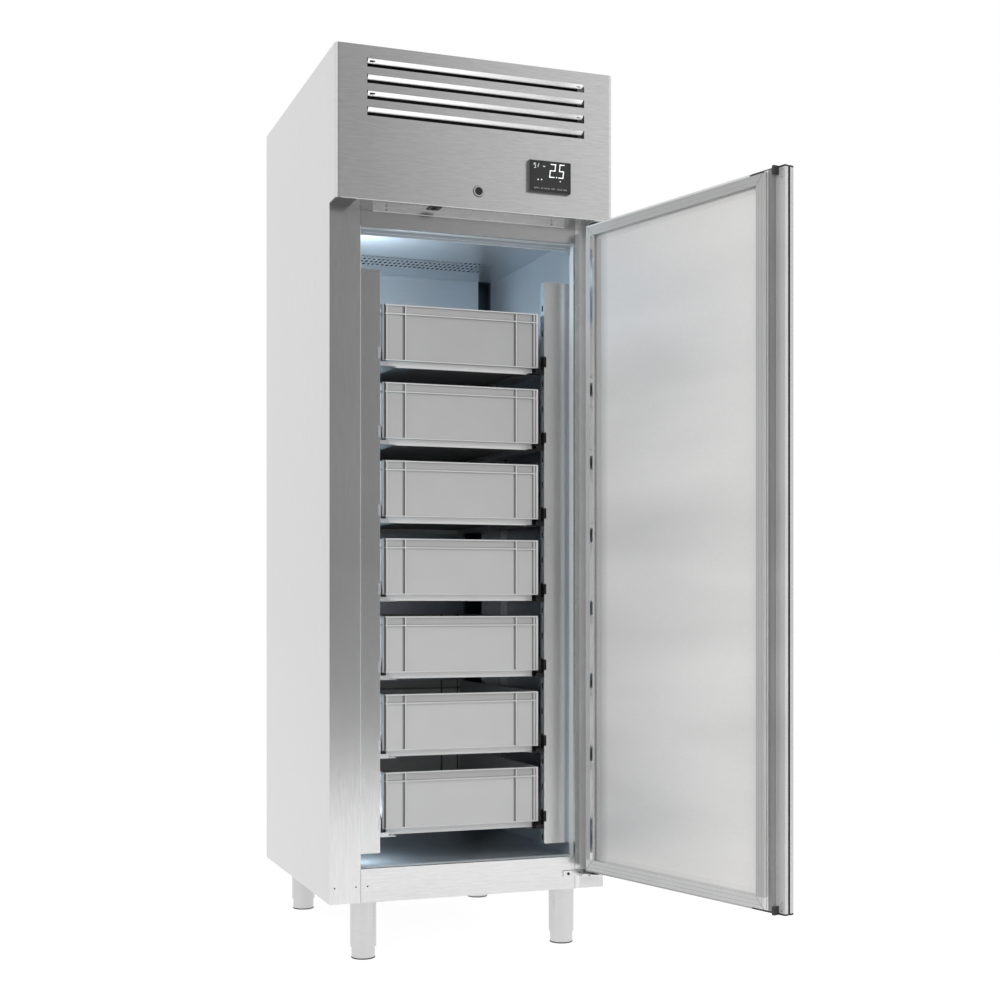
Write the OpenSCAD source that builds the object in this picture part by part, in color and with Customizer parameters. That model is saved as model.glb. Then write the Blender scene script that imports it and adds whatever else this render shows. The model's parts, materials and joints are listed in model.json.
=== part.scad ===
// Upright fish refrigerator with seven crates, a full-height door standing open and the cooling unit on top.
// Millimetres. +Z up, the front is -Y. The origin is on the floor, midway between the four feet.

/* [Cabinet] */
// Outside width of the cabinet
cab_w = 693; // [660:1:740]
// Height of the body's underside above the floor
leg_h = 138; // [125:1:170]
// Height of the unit compartment above the insulated roof
unit_h = 302; // [296:1:330]
// Thickness of the steel sheets
sheet_t = 1; // [0.8:0.1:1.4]
// Thickness of the insulated side walls, sheets included
wall_t = 70; // [64:1:72]
// Thickness of the insulated rear wall, sheets included
rear_wall_t = 56; // [40:1:58]
// Thickness of the insulated floor, sheets included
floor_t = 74; // [64:1:76]
// Thickness of the insulated roof, sheets included
roof_t = 75; // [65:1:85]
// Width of the folds along free sheet edges
fold_w = 20; // [14:1:28]

/* [Door opening] */
// Width of the upright strips beside the opening
stile_w = 75; // [73:1:80]
// Height of the front rail under the opening
rail_h = 79; // [77:1:88]
// How far the lintel hangs below the ceiling
lintel_drop = 26; // [18:1:34]
// Depth of the sheet lip that turns into the opening
lip_d = 10; // [6:1:14]
// Depth of the plastic frame behind that lip
breaker_d = 25; // [18:1:32]

/* [Fascia] */
// Height of the front cover of the unit compartment
fascia_h = 356; // [345:1:362]
// Depth of the front cover, the same as the closed door
fascia_d = 58; // [54:1:64]
// Radius of its upright front corners
corner_r = 10; // [6:1:12]
// Number of air slots
slot_count = 4; // [2:1:5]
// Height of an air slot
slot_h = 19.4; // [14:0.2:22]
// Distance from one slot to the next
slot_pitch = 37.4; // [34:0.2:40]
// Top of the first slot below the top of the cover
slot_top = 30; // [24:1:36]
// Distance from the cover's face to the dust filter
filter_in = 34; // [24:1:36]
// How far the slanted blades drop from the top of their slots
blade_drop = 9.5; // [6:0.5:12]
// Depth of those blades behind the cover's face
blade_d = 8; // [6:0.5:10]
// Height of the screwed flange under the cover
flange_h = 11; // [8:1:14]
// Thickness of the dust filter behind the slots
filter_t = 8; // [5:1:10]

/* [Controller] */
// Width of the controller's face
panel_w = 106; // [90:1:116]
// Height of the controller's face
panel_h = 74; // [60:1:78]
// How far the controller stands out of the cover
panel_out = 12; // [8:1:14]
// Centre of the controller right of the middle
panel_x = 178; // [170:1:190]
// Centre of the controller above the cover's lower edge
panel_up = 91; // [84:1:96]
// Depth of the housing behind the cover
panel_deep = 44; // [30:1:50]
// Thickness of the controller's glass
panel_glass_t = 2; // [1.5:0.5:3]

/* [Lock] */
// Centre of the key lock above the cover's lower edge
lock_up = 43; // [38:1:46]
// Diameter of the lock's ring
lock_ring_d = 25; // [24:1:30]
// Diameter of the turning barrel
barrel_d = 14; // [12:0.5:14]
// Crank radius that drives the bolt
crank_r = 8.5; // [8:0.1:9]
// Diameter of the crank pin
crank_pin_d = 4; // [3:0.5:4]
// Width of the bolt
bolt_w = 8; // [6:0.5:9]
// Thickness of the bolt
bolt_t = 3; // [2:0.5:3.5]

/* [Door switch] */
// Width and depth of the switch frame
switch_w = 30; // [26:1:34]
// Centre of the switch left of the middle
switch_x = 102.5; // [90:0.5:120]
// How far the switch button hangs below the cover
switch_out = 4; // [2.5:0.5:4.2]
// Travel of the switch button
switch_travel = 3; // [2:0.5:3]

/* [Door] */
// Angle at which the door stands open
door_angle = 105.4; // [90:0.1:110]
// Gap between the door's side and the cabinet's side plane
door_side_gap = 10; // [6:1:14]
// Gap between the door and the front cover above it
door_top_gap = 5; // [4.8:0.1:7]
// Height of the door's lower edge above the body's underside
door_up = 43; // [38:1:50]
// Thickness of the door's outer part
door_shell_t = 31; // [31:0.5:33]
// How far the inner panel stands behind that part
plug_t = 15; // [12:1:16]
// Width of the margin at the door's sides
margin_w = 25; // [22:1:30]
// Width of the margin at the door's top and bottom
margin_h = 8; // [6:1:10]
// Depth of the outer skin's fold at the free edge
skin_return = 16; // [13:1:16]
// Width of the grip groove along the free edge
groove_w = 6; // [5:0.5:8]
// Depth of the grip groove
groove_d = 12; // [8:1:16]
// Length of the plastic caps at the door's free corners
cap_len = 98; // [80:1:120]
// Thickness of those caps
cap_t = 4; // [3:0.5:6]
// Height of the small block on each cap
lug_h = 18; // [14:1:24]
// Width of the gasket's sealing face
gasket_w = 25; // [22:1:26]
// Distance of the sealing face from the inner panel's sides
gasket_side = 10; // [8:1:12]
// Distance of the sealing face from the inner panel's top and bottom
gasket_top = 3; // [2:1:4]
// Gap between the gasket and the cabinet when the door is shut
seal_gap = 0.5; // [0.4:0.1:1]
// Depth of the dish pressed into the inner panel
dish_d = 5; // [3:0.5:8]
// Width of the dish's sloped border
dish_slope = 10; // [8:1:16]

/* [Hinge] */
// Distance of the hinge axis from the cabinet's side
hinge_in = 36.5; // [34:0.5:40]
// Distance of the hinge axis in front of the body
hinge_out = 35; // [35:0.5:37]
// Radius of the hinge pins
pin_r = 5; // [4:0.5:5]
// Radial clearance of pins and shafts in their bores
run_gap = 0.05; // [0.03:0.01:0.1]
// Length of the hinge pins inside the door
pin_len = 18; // [14:1:24]
// Thickness of the upper hinge plate
hinge_plate_t = 3; // [2:0.5:3.5]
// Thickness of the lower bracket's arm
arm_t = 5; // [4:0.5:7]
// Height of the lower bracket's screwed plate
bracket_h = 15; // [14:1:20]
// How far that plate rises above the arm
bracket_rise = 5.3; // [2:0.1:6]

/* [Rack] */
// Clear width between the pilasters
rack_w = 421; // [418:1:424]
// Distance from the body's front to the pilasters' front
rack_in = 51; // [45:1:56]
// Depth of the pilasters' flanges
rack_flange = 25; // [20:1:30]
// Thickness of the rack's sheet
rack_t = 1.2; // [1:0.1:1.6]
// Distance from the front pilasters' front to the rear pilasters' rear
rack_len = 469; // [440:1:500]
// Height of the pilasters
rack_h = 1391; // [1380:1:1400]
// Distance from the pilasters' top to the ceiling
rack_over = 115; // [107:1:123]
// Bottom of the pilasters above the chamber's floor
rack_up = 32; // [28:1:40]
// Distance between the holes in the pilasters
hole_pitch = 62.5; // [62:0.1:63]
// Width of the ledge that carries a crate
ledge_w = 40; // [34:1:46]
// Height of a runner's upright side
runner_h = 42; // [42:1:48]

/* [Crates] */
// Outside width of a crate
crate_w = 400; // [394:1:402]
// Outside length of a crate
crate_l = 600; // [580:1:602]
// Outside height of a crate
crate_h = 150; // [120:1:160]
// Wall thickness of a crate
crate_t = 2.5; // [2:0.1:3]
// Depth of the ribs outside the wall
rib_d = 4; // [3:0.5:5]
// Width of the ribs
rib_w = 3; // [2:0.5:4]
// Height of the stacking foot
foot_h = 15; // [10:1:16]
// Inset of the stacking foot
foot_in = 12; // [12:1:16]
// Height of the gripping rim
rim_h = 23.5; // [18:0.5:28]
// Distance from a crate's side to its upright ribs
rib_in = 56; // [48:1:64]
// Front of the crates behind the body's front
crate_in = 66; // [60:1:67]
// Gap between the crates and the rear wall
crate_gap = 4; // [2:1:20]
// Bottom of the lowest crate above the chamber's floor
crate_up = 71; // [66:1:76]
// Hole pitches from one crate to the next
crate_steps = 3; // [3:1:3]

/* [Air path] */
// Gap between the perforated ceiling panel and the roof
ceiling_gap = 8; // [6:1:12]
// Number of slot rows in the ceiling panel
air_rows = 4; // [2:1:5]
// Length of a slot in the ceiling panel
air_slot_l = 21; // [16:1:24]
// Width of a slot in the ceiling panel
air_slot_w = 7; // [5:0.5:8]
// Pitch of the slots across the panel
air_pitch = 12.8; // [12:0.1:14]
// Pitch of the slot rows
air_row_pitch = 30; // [28:1:34]
// Height of the rear cowl that turns the air down
cowl_h = 167; // [140:1:175]
// Width of the rear cowl
cowl_w = 457; // [420:1:480]
// Distance of the cowl's face from the rear wall
cowl_d = 70; // [60:1:76]

/* [Evaporator] */
// Inside width of the insulated evaporator box
plug_w = 360; // [340:1:380]
// Inside depth of the insulated evaporator box
plug_d = 280; // [270:1:286]
// Inside height of the box above the deck
plug_h = 180; // [170:1:190]
// Wall thickness of the box
plug_wall = 35; // [30:1:36]
// Thickness of the evaporator coil
coil_d = 65; // [50:1:70]
// Radius of the evaporator fan
evap_fan_r = 76; // [70:1:78]

/* [Condensing unit] */
// Distance from the condenser to the cabinet's right side
cond_side = 36.5; // [30:0.5:44]
// Distance from the compressor's axis to the cabinet's left side
comp_side = 156.5; // [130:0.5:170]
// Gap between the compressor's shell and the condenser
cond_gap = 68; // [60:1:80]
// Height of the condenser
cond_h = 250; // [240:1:256]
// Thickness of the condenser
cond_d = 50; // [40:1:60]
// Distance between the condenser's fins
fin_pitch = 7; // [6:0.5:10]
// Distance between the evaporator's fins
evap_fin_pitch = 9; // [7:0.5:12]
// Thickness of the fins
fin_t = 1.2; // [1:0.1:2]
// Radius of the condenser fan
fan_r = 100; // [90:1:104]
// Gap between a fan's tips and its ring
fan_gap = 4; // [3:1:6]
// Radius of the compressor's shell
comp_r = 82; // [74:1:86]
// Gap between the compressor's shell and the evaporator box
comp_gap = 44; // [36:1:60]
// Height of the compressor
comp_h = 190; // [170:1:210]
// Outside radius of the copper pipes
pipe_r = 4; // [3:0.5:5]
// Width of the electrical box
elec_w = 120; // [100:1:130]
// Depth of the electrical box
elec_d = 80; // [70:1:84]
// Height of the electrical box
elec_h = 66; // [60:1:76]

/* [Legs] */
// Distance from the cabinet's sides to the leg centres
leg_side = 93; // [86:1:106]
// Distance from the cabinet's front and rear to the leg centres
leg_end = 46; // [43:1:58]
// Radius of the leg sleeves
sleeve_r = 31; // [30.5:0.5:34]
// Radius of the adjustable feet
foot_r = 28; // [26:0.5:28]
// Radius of the feet's plastic pads
pad_r = 27; // [24:0.5:27]
// Height of the pads
pad_h = 8; // [6:1:10]
// How much of a foot shows below its sleeve
foot_show = 28; // [20:1:34]
// How far a foot can be screwed out
foot_travel = 40; // [20:1:42]

/* [Hidden] */
$fn = 48;

// Clearance of pieces that slide on each other
slide_gap = 0.3;
// Overlap that lets a cut pass through a face
eps = 1;

// Levels and planes of the cabinet
cab_d = crate_in + crate_l + crate_gap + rear_wall_t;
chamber_h = rack_up + rack_h + rack_over;
shell_h = floor_t + chamber_h + roof_t + unit_h;
half_w = cab_w / 2;
front_y = -cab_d / 2;
rear_y = cab_d / 2;
cab_top = leg_h + shell_h;
floor_z = leg_h + floor_t;
ceil_z = floor_z + chamber_h;
deck_z = ceil_z + roof_t;
open_x = half_w - stile_w;
room_x = half_w - wall_t;
room_front = front_y + lip_d;
room_rear = rear_y - rear_wall_t;
rail_z = leg_h + rail_h;
lintel_z = ceil_z - lintel_drop;
fascia_y = front_y - fascia_d;
fascia_z = cab_top - fascia_h;

// Dust filter
filter_x = open_x + 4;
filter_y = fascia_y + filter_in;
filter_z0 = slot_z(slot_count - 1) - slot_h - 6;
filter_z1 = slot_z(0) + 6;

// Lock, switch and controller
lock_z = fascia_z + lock_up;
lock_depth = 10;
barrel_r = barrel_d / 2;
crank_rise = crank_r * sin(45);
crank_disc_t = 2;
bolt_y = fascia_y + lock_depth + crank_disc_t + 1;
bolt_x = -(crank_r + crank_rise) / 2;
bolt_slack = 0.4;
switch_y = fascia_y + door_shell_t / 2 + 8;
panel_z = fascia_z + panel_up;
panel_rim = 7;

// Door, described as if it were shut
door_x0 = -half_w + door_side_gap;
door_x1 = half_w - door_side_gap;
door_z0 = leg_h + door_up;
door_z1 = fascia_z - door_top_gap;
margin_plane_y = fascia_y + door_shell_t;
plug_y = margin_plane_y + plug_t;
plug_x = door_x1 - margin_w;
plug_z0 = door_z0 + margin_h;
plug_z1 = door_z1 - margin_h;
groove_y0 = fascia_y + skin_return;
groove_y1 = groove_y0 + groove_w;
grip_wall = 1;
hem_w = groove_d - 3;
hinge_x = half_w - hinge_in;
hinge_y = front_y - hinge_out;
bush_r = pin_r + 1;
bush_flange_r = bush_r + 3;
bracket_gap = 3;
striker_slack = 1;

// Rack and crates
rack_x = rack_w / 2;
rack_y0 = front_y + rack_in;
rack_y1 = rack_y0 + rack_len;
rack_z0 = floor_z + rack_up;
crate_y = front_y + crate_in;
crate_z = floor_z + crate_up;
crate_pitch = crate_steps * hole_pitch;
crate_count = 7;
hole_h = 14;
hole_w = 9;
hook_h = 8;
hook_w = 7;
hook_up = 38.5;
hook_lap = 5;

// Evaporator and condensing unit
plug_x1 = plug_w / 2;
plug_y1 = room_rear - 17;
plug_y0 = plug_y1 - plug_d;
plug_top = deck_z + plug_h;
coil_y0 = plug_y0 + plug_d / 2;
evap_axis_z = (ceil_z + plug_top) / 2 + 8;
end_plate_w = 48;
fan_stand = 30;
hub_l = 24;
evap_motor_r = 26;
evap_motor_l = 34;
cond_motor_r = 36;
cond_motor_l = 46;
evap_plate_y = coil_y0 - fan_stand;
cond_w = cab_w - cond_side - comp_side - comp_r - cond_gap;
cond_x0 = half_w - cond_side - cond_w;
cond_y0 = front_y + 13;
cond_z0 = deck_z + 4;
fan_x = cond_x0 + cond_w / 2;
fan_z = cond_z0 + cond_h / 2;
cond_plate_y = cond_y0 + cond_d + fan_stand;
comp_x = -half_w + comp_side;
evap_box_y = plug_y0 - plug_wall;
comp_y = evap_box_y - comp_gap - comp_r;
suction_z = deck_z + 150;
elec_y = evap_box_y - 34 - elec_d;
comp_z = deck_z + 12;
ceiling_z = ceil_z - ceiling_gap;
cowl_y = room_rear - cowl_d;

// Lamp on the left wall of the chamber, and the legs
lamp_w = 12;
lamp_d = 5.5;
lamp_t = 1.2;
lamp_y = room_front + breaker_d + 1.5;
lamp_z0 = floor_z + 18;
lamp_z1 = ceiling_z - 30;
leg_span_x = cab_w - 2 * leg_side;
leg_span_y = cab_d - 2 * leg_end;

steel = [0.74, 0.75, 0.76];
bright = [0.86, 0.87, 0.88];
galvanised = [0.66, 0.69, 0.71];
dark_plastic = [0.2, 0.2, 0.21];
black = [0.07, 0.07, 0.08];
grey_rubber = [0.55, 0.56, 0.57];
crate_grey = [0.72, 0.72, 0.71];
foam_yellow = [0.9, 0.82, 0.6];
copper = [0.72, 0.42, 0.28];
panel_white = [0.85, 0.86, 0.87];

// A box between three pairs of limits
module block(x, y, z) {
    translate([x[0], y[0], z[0]])
        cube([x[1] - x[0], y[1] - y[0], z[1] - z[0]]);
}

// A round rod along Y
module rod_y(x, z, r, y0, y1) {
    translate([x, y0, z])
        rotate([-90, 0, 0])
            cylinder(r = r, h = y1 - y0);
}

// An outline drawn in depth and height, stretched across the cabinet
module across(x0, x1) {
    translate([x0, 0, 0])
        rotate([90, 0, 90])
            linear_extrude(x1 - x0)
                children();
}

// Plan of a tray whose two front corners are round
module front_plan(x0, x1, y0, y1, r) {
    translate([x0, y0 + r])
        square([x1 - x0, y1 - y0 - r]);
    translate([x0 + r, y0])
        square([x1 - x0 - 2 * r, 2 * r]);
    for (x = [x0 + r, x1 - r])
        translate([x, y0 + r])
            circle(r = r);
}

// One side panel: a sheet whose front edge folds across the stile and into the opening
module side_panel() {
    color(steel) {
        block([-half_w, -half_w + sheet_t], [front_y, rear_y], [leg_h, cab_top]);
        block([-half_w, -open_x], [front_y, front_y + sheet_t], [leg_h, cab_top]);
        block([-open_x - sheet_t, -open_x], [front_y, front_y + lip_d], [leg_h + sheet_t, deck_z - sheet_t]);
        block([-half_w, -half_w + fold_w], [rear_y - 2 * sheet_t, rear_y - sheet_t], [leg_h, cab_top]);
        block([-half_w, -half_w + fold_w], [front_y, rear_y], [cab_top - sheet_t, cab_top]);
    }
}

// Rear sheet, with a window behind the cooling unit
module back_panel() {
    window_z = deck_z + 3 * fold_w;
    color(galvanised)
        difference() {
            block([-half_w + sheet_t, half_w - sheet_t], [rear_y - sheet_t, rear_y],
                  [leg_h, cab_top - sheet_t]);
            block([-open_x, open_x], [rear_y - 3 * sheet_t, rear_y + eps], [window_z, cab_top - 2 * fold_w]);
        }
}

// Bottom sheet and front rail, folded from one piece
module base_panel() {
    color(steel) {
        block([-half_w + sheet_t, half_w - sheet_t], [front_y + sheet_t, rear_y - 2 * sheet_t],
              [leg_h, leg_h + sheet_t]);
        block([-open_x, open_x], [front_y, front_y + sheet_t], [leg_h, rail_z]);
        block([-open_x, open_x], [front_y, front_y + lip_d], [rail_z - sheet_t, rail_z]);
    }
}

// Deck above the insulation and the lintel in front of it, folded from one piece
module roof_panel() {
    color(steel)
        difference() {
            union() {
                block([-half_w + sheet_t, half_w - sheet_t], [front_y + sheet_t, rear_y - 2 * sheet_t],
                      [deck_z - sheet_t, deck_z]);
                block([-open_x, open_x], [front_y, front_y + sheet_t], [lintel_z, deck_z]);
                block([-open_x, open_x], [front_y, front_y + lip_d], [lintel_z, lintel_z + sheet_t]);
            }
            roof_opening();
        }
}

// Way through the roof under the evaporator box
module roof_opening() {
    block([-plug_x1, plug_x1], [plug_y0, plug_y1], [ceil_z - eps, deck_z + eps]);
}

// Foam between the outer sheets and the liner
module insulation() {
    color(foam_yellow)
        difference() {
            block([-half_w + sheet_t, half_w - sheet_t], [front_y + sheet_t, rear_y - sheet_t],
                  [leg_h + sheet_t, deck_z - sheet_t]);
            for (side = [0, 1])
                mirror([side, 0, 0])
                    block([-half_w, -half_w + fold_w], [rear_y - 2 * sheet_t, rear_y], [leg_h, cab_top]);
            block([-open_x - sheet_t, open_x + sheet_t], [front_y, room_front],
                  [rail_z - sheet_t, lintel_z + sheet_t]);
            for (side = [-1, 1])
                block([side * open_x - (side < 0 ? sheet_t : 0), side * open_x + (side < 0 ? 0 : sheet_t)],
                      [front_y, room_front], [leg_h, deck_z]);
            block([-room_x - sheet_t, room_x + sheet_t], [room_front, room_rear + sheet_t],
                  [floor_z - sheet_t, ceil_z + sheet_t]);
            roof_opening();
        }
}

// Inner sheet box, open to the front
module inner_liner() {
    color(bright)
        difference() {
            block([-room_x - sheet_t, room_x + sheet_t], [room_front, room_rear + sheet_t],
                  [floor_z - sheet_t, ceil_z + sheet_t]);
            block([-room_x, room_x], [room_front - eps, room_rear], [floor_z, ceil_z]);
            roof_opening();
        }
}

// Plastic frame that keeps the cold liner off the outer sheets
module breaker_frame() {
    color(panel_white)
        difference() {
            block([-room_x, room_x], [room_front, room_front + breaker_d], [floor_z, ceil_z]);
            block([-open_x, open_x], [room_front - eps, room_front + breaker_d + eps], [rail_z, lintel_z]);
        }
}

// Metal profile of the upright lamp on the left wall, with its end caps
module lamp_profile() {
    color(galvanised) {
        block([-room_x, -room_x + lamp_t], [lamp_y, lamp_y + lamp_w], [lamp_z0, lamp_z1]);
        for (y = [lamp_y, lamp_y + lamp_w - lamp_t])
            block([-room_x, -room_x + lamp_d], [y, y + lamp_t], [lamp_z0, lamp_z1]);
        for (z = [lamp_z0, lamp_z1 - lamp_t])
            block([-room_x, -room_x + lamp_d + 3], [lamp_y, lamp_y + lamp_w], [z, z + lamp_t]);
    }
}

// Milky cover of the lamp, clipped between the profile's lips
module lamp_diffuser() {
    half = lamp_w / 2 - lamp_t - 0.1;
    color(panel_white)
        translate([-room_x + lamp_t, lamp_y + lamp_w / 2, lamp_z0 + lamp_t])
            linear_extrude(lamp_z1 - lamp_z0 - 2 * lamp_t) {
                translate([0, -half])
                    square([lamp_d - lamp_t, 2 * half]);
                intersection() {
                    translate([lamp_d - lamp_t - 2.5, 0])
                        circle(r = half + 0.6);
                    translate([0.5, -half])
                        square([lamp_d + 4, 2 * half]);
                }
            }
}

// Top edge of an air slot, counted from the top
function slot_z(i) = cab_top - slot_top - i * slot_pitch;

// Front cover of the unit compartment, with its air slots, blades and screwed flange
module fascia() {
    color(steel)
        difference() {
            union() {
                difference() {
                    fascia_solid(0);
                    fascia_solid(sheet_t);
                    for (i = [0 : slot_count - 1])
                        block([-open_x, open_x], [fascia_y - eps, fascia_y + sheet_t + eps],
                              [slot_z(i) - slot_h, slot_z(i)]);
                }
                for (i = [0 : slot_count - 1])
                    fascia_blade(i);
                for (side = [0, 1])
                    mirror([side, 0, 0])
                        filter_channel();
                block([-open_x + 29, open_x - 29], [front_y - sheet_t, front_y],
                      [fascia_z - flange_h, fascia_z + sheet_t]);
            }
            block([panel_x - panel_w / 2 + panel_rim, panel_x + panel_w / 2 - panel_rim],
                  [fascia_y - eps, fascia_y + sheet_t + eps],
                  [panel_z - panel_h / 2 + panel_rim, panel_z + panel_h / 2 - panel_rim]);
            rod_y(0, lock_z, barrel_r + 2.5, fascia_y - eps, fascia_y + sheet_t + eps);
            block([bolt_x - bolt_w / 2 - bolt_slack, bolt_x + bolt_w / 2 + bolt_slack],
                  [bolt_y - bolt_slack, bolt_y + bolt_t + bolt_slack],
                  [fascia_z - eps, fascia_z + sheet_t + eps]);
            block([-switch_x - switch_w / 2 + 3, -switch_x + switch_w / 2 - 3],
                  [switch_y - switch_w / 2 + 3, switch_y + switch_w / 2 - 3],
                  [fascia_z - eps, fascia_z + sheet_t + eps]);
        }
}

// Left channel behind the cover, in which the dust filter stands
module filter_channel() {
    y0 = filter_y - slide_gap - sheet_t;
    y1 = filter_y + filter_t + slide_gap + sheet_t;
    x0 = -filter_x - slide_gap - sheet_t;
    x1 = -filter_x + 8;
    z0 = filter_z0 - slide_gap - sheet_t;
    block([x0, x0 + sheet_t], [fascia_y + sheet_t / 2, y1], [z0, filter_z1]);
    block([x0, x1], [y0, y0 + sheet_t], [z0, filter_z1]);
    block([x0, x1], [y1 - sheet_t, y1], [z0, filter_z1]);
    block([x0, x1], [y0, y1], [z0, z0 + sheet_t]);
}

// A blade that slants inwards and down from the top of its slot, with two short slits in every other one
module fascia_blade(i) {
    slope = blade_drop / blade_d;
    rise = sheet_t * sqrt(1 + slope * slope);
    y0 = 0.2 * sheet_t;
    difference() {
        translate([0, fascia_y, slot_z(i)])
            across(-open_x + 1, open_x - 2.5)
                polygon([[y0, -slope * y0], [blade_d, -blade_drop], [blade_d, rise - blade_drop],
                         [y0, rise - slope * y0]]);
        if (i % 2 == 0)
            for (x = [-open_x + 11, open_x - 13])
                block([x - 4.5, x + 4.5], [fascia_y + 0.45 * blade_d, fascia_y + 0.7 * blade_d],
                      [slot_z(i) - slot_h, slot_z(i) + 1]);
    }
}

// The cover's outer form, or with an inset its hollow, which is open at the rear
module fascia_solid(inset) {
    translate([0, 0, fascia_z + inset])
        linear_extrude(fascia_h - 2 * inset)
            front_plan(-half_w + inset, half_w - inset, fascia_y + inset,
                       front_y + (inset > 0 ? eps : 0), corner_r - inset);
}

// Dark filter mat behind the air slots
module dust_filter() {
    color(black)
        block([-filter_x, filter_x], [filter_y, filter_y + filter_t], [filter_z0, filter_z1]);
}

// Controller housing: a flat frame in front of the cover and a box behind it
module controller_housing() {
    x0 = panel_x - panel_w / 2;
    x1 = panel_x + panel_w / 2;
    z0 = panel_z - panel_h / 2;
    z1 = panel_z + panel_h / 2;
    color(dark_plastic)
        difference() {
            union() {
                block([x0, x1], [fascia_y - panel_out, fascia_y], [z0, z1]);
                block([x0 + panel_rim, x1 - panel_rim], [fascia_y, fascia_y + panel_deep],
                      [z0 + panel_rim, z1 - panel_rim]);
            }
            block([x0 + 3, x1 - 3], [fascia_y - panel_out - eps, fascia_y - panel_out + panel_glass_t],
                  [z0 + 3, z1 - 3]);
        }
}

// Glass face of the controller
module controller_glass() {
    color(black)
        block([panel_x - panel_w / 2 + 3, panel_x + panel_w / 2 - 3],
              [fascia_y - panel_out - 0.5, fascia_y - panel_out + panel_glass_t],
              [panel_z - panel_h / 2 + 3, panel_z + panel_h / 2 - 3]);
}

// Fixed part of the key lock: ring, tube and the guide plate behind the bolt
module lock_housing() {
    color(bright)
        difference() {
            union() {
                rod_y(0, lock_z, lock_ring_d / 2, fascia_y - 3, fascia_y);
                rod_y(0, lock_z, barrel_r + 2.5, fascia_y - 3, fascia_y + lock_depth);
                rod_y(0, lock_z, barrel_r + 5, fascia_y + sheet_t, fascia_y + sheet_t + 4);
                lock_guide();
            }
            rod_y(0, lock_z, barrel_r + run_gap, fascia_y - 4, fascia_y + lock_depth + eps);
        }
}

// Bridge that leads back from the lock's nut and guides the bolt from behind
module lock_guide() {
    guide_x = crank_r + crank_pin_d + 6;
    guide_y = bolt_y + bolt_t + slide_gap;
    block([-guide_x - 2, -guide_x], [fascia_y + sheet_t, guide_y + 2], [lock_z - 9, lock_z + 9]);
    block([-guide_x - 2, 4], [guide_y, guide_y + 2], [lock_z - 9, lock_z + 9]);
    block([-guide_x - 2, 0], [fascia_y + sheet_t, fascia_y + sheet_t + 3], [lock_z - 5, lock_z + 5]);
}

// Turning barrel with its key slot, disc and crank pin
module lock_barrel() {
    disc_y = fascia_y + lock_depth + slide_gap;
    color(bright)
        difference() {
            union() {
                rod_y(0, lock_z, barrel_r, fascia_y - 3.5, disc_y + crank_disc_t - slide_gap);
                rod_y(0, lock_z, crank_r + crank_pin_d / 2, disc_y, disc_y + crank_disc_t - slide_gap);
                rod_y(-crank_rise, lock_z + crank_rise, crank_pin_d / 2, disc_y, bolt_y + bolt_t);
            }
            block([-0.8, 0.8], [fascia_y - 5, fascia_y - 1], [lock_z - 4, lock_z + 4]);
        }
}

// Bolt with the slot in which the crank pin runs
module lock_bolt() {
    yoke_z = lock_z + crank_rise;
    slot_x0 = -crank_r - crank_pin_d / 2 - bolt_slack;
    slot_x1 = -crank_rise + crank_pin_d / 2 + bolt_slack;
    color(bright)
        difference() {
            union() {
                block([slot_x0 - 4, slot_x1 + 4], [bolt_y, bolt_y + bolt_t], [yoke_z - 7, yoke_z + 7]);
                block([bolt_x - bolt_w / 2, bolt_x + bolt_w / 2], [bolt_y, bolt_y + bolt_t],
                      [fascia_z + 0.5, yoke_z]);
            }
            block([slot_x0, slot_x1], [bolt_y - eps, bolt_y + bolt_t + eps],
                  [yoke_z - crank_pin_d / 2 - bolt_slack, yoke_z + crank_pin_d / 2 + bolt_slack]);
        }
}

// Frame and case of the door switch, let into the cover's underside
module switch_housing() {
    case_h = 26;
    half = switch_w / 2;
    color(dark_plastic)
        difference() {
            union() {
                block([-switch_x - half, -switch_x + half], [switch_y - half, switch_y + half],
                      [fascia_z - 1.5, fascia_z]);
                block([-switch_x - half + 3, -switch_x + half - 3],
                      [switch_y - half + 3, switch_y + half - 3], [fascia_z, fascia_z + case_h]);
            }
            block([-switch_x - 4, -switch_x + 4], [switch_y - 8, switch_y + 8],
                  [fascia_z - 2, fascia_z + case_h - 3]);
        }
}

// Sprung button of the door switch
module switch_button() {
    color(black)
        block([-switch_x - 4 + slide_gap, -switch_x + 4 - slide_gap],
              [switch_y - 8 + slide_gap, switch_y + 8 - slide_gap],
              [fascia_z - switch_out, fascia_z + 23 - switch_travel - slide_gap]);
}

// Plan of the plates under the cover's two ends
module end_plate_plan(side) {
    intersection() {
        front_plan(-half_w, half_w, fascia_y, front_y, corner_r);
        translate([side < 0 ? -half_w : half_w - end_plate_w, fascia_y])
            square([end_plate_w, fascia_d]);
    }
}

// Plastic plug over the hinge holes that this hand of door leaves free
module corner_plug() {
    color(dark_plastic)
        translate([0, 0, fascia_z - hinge_plate_t])
            linear_extrude(hinge_plate_t)
                end_plate_plan(-1);
}

// Steel plate under the cover that carries the upper hinge pin
module upper_hinge_plate() {
    color(steel) {
        translate([0, 0, fascia_z - hinge_plate_t])
            linear_extrude(hinge_plate_t)
                end_plate_plan(1);
        translate([hinge_x, hinge_y, door_z1 - pin_len])
            cylinder(r = pin_r, h = fascia_z - hinge_plate_t - door_z1 + pin_len);
    }
}

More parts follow.
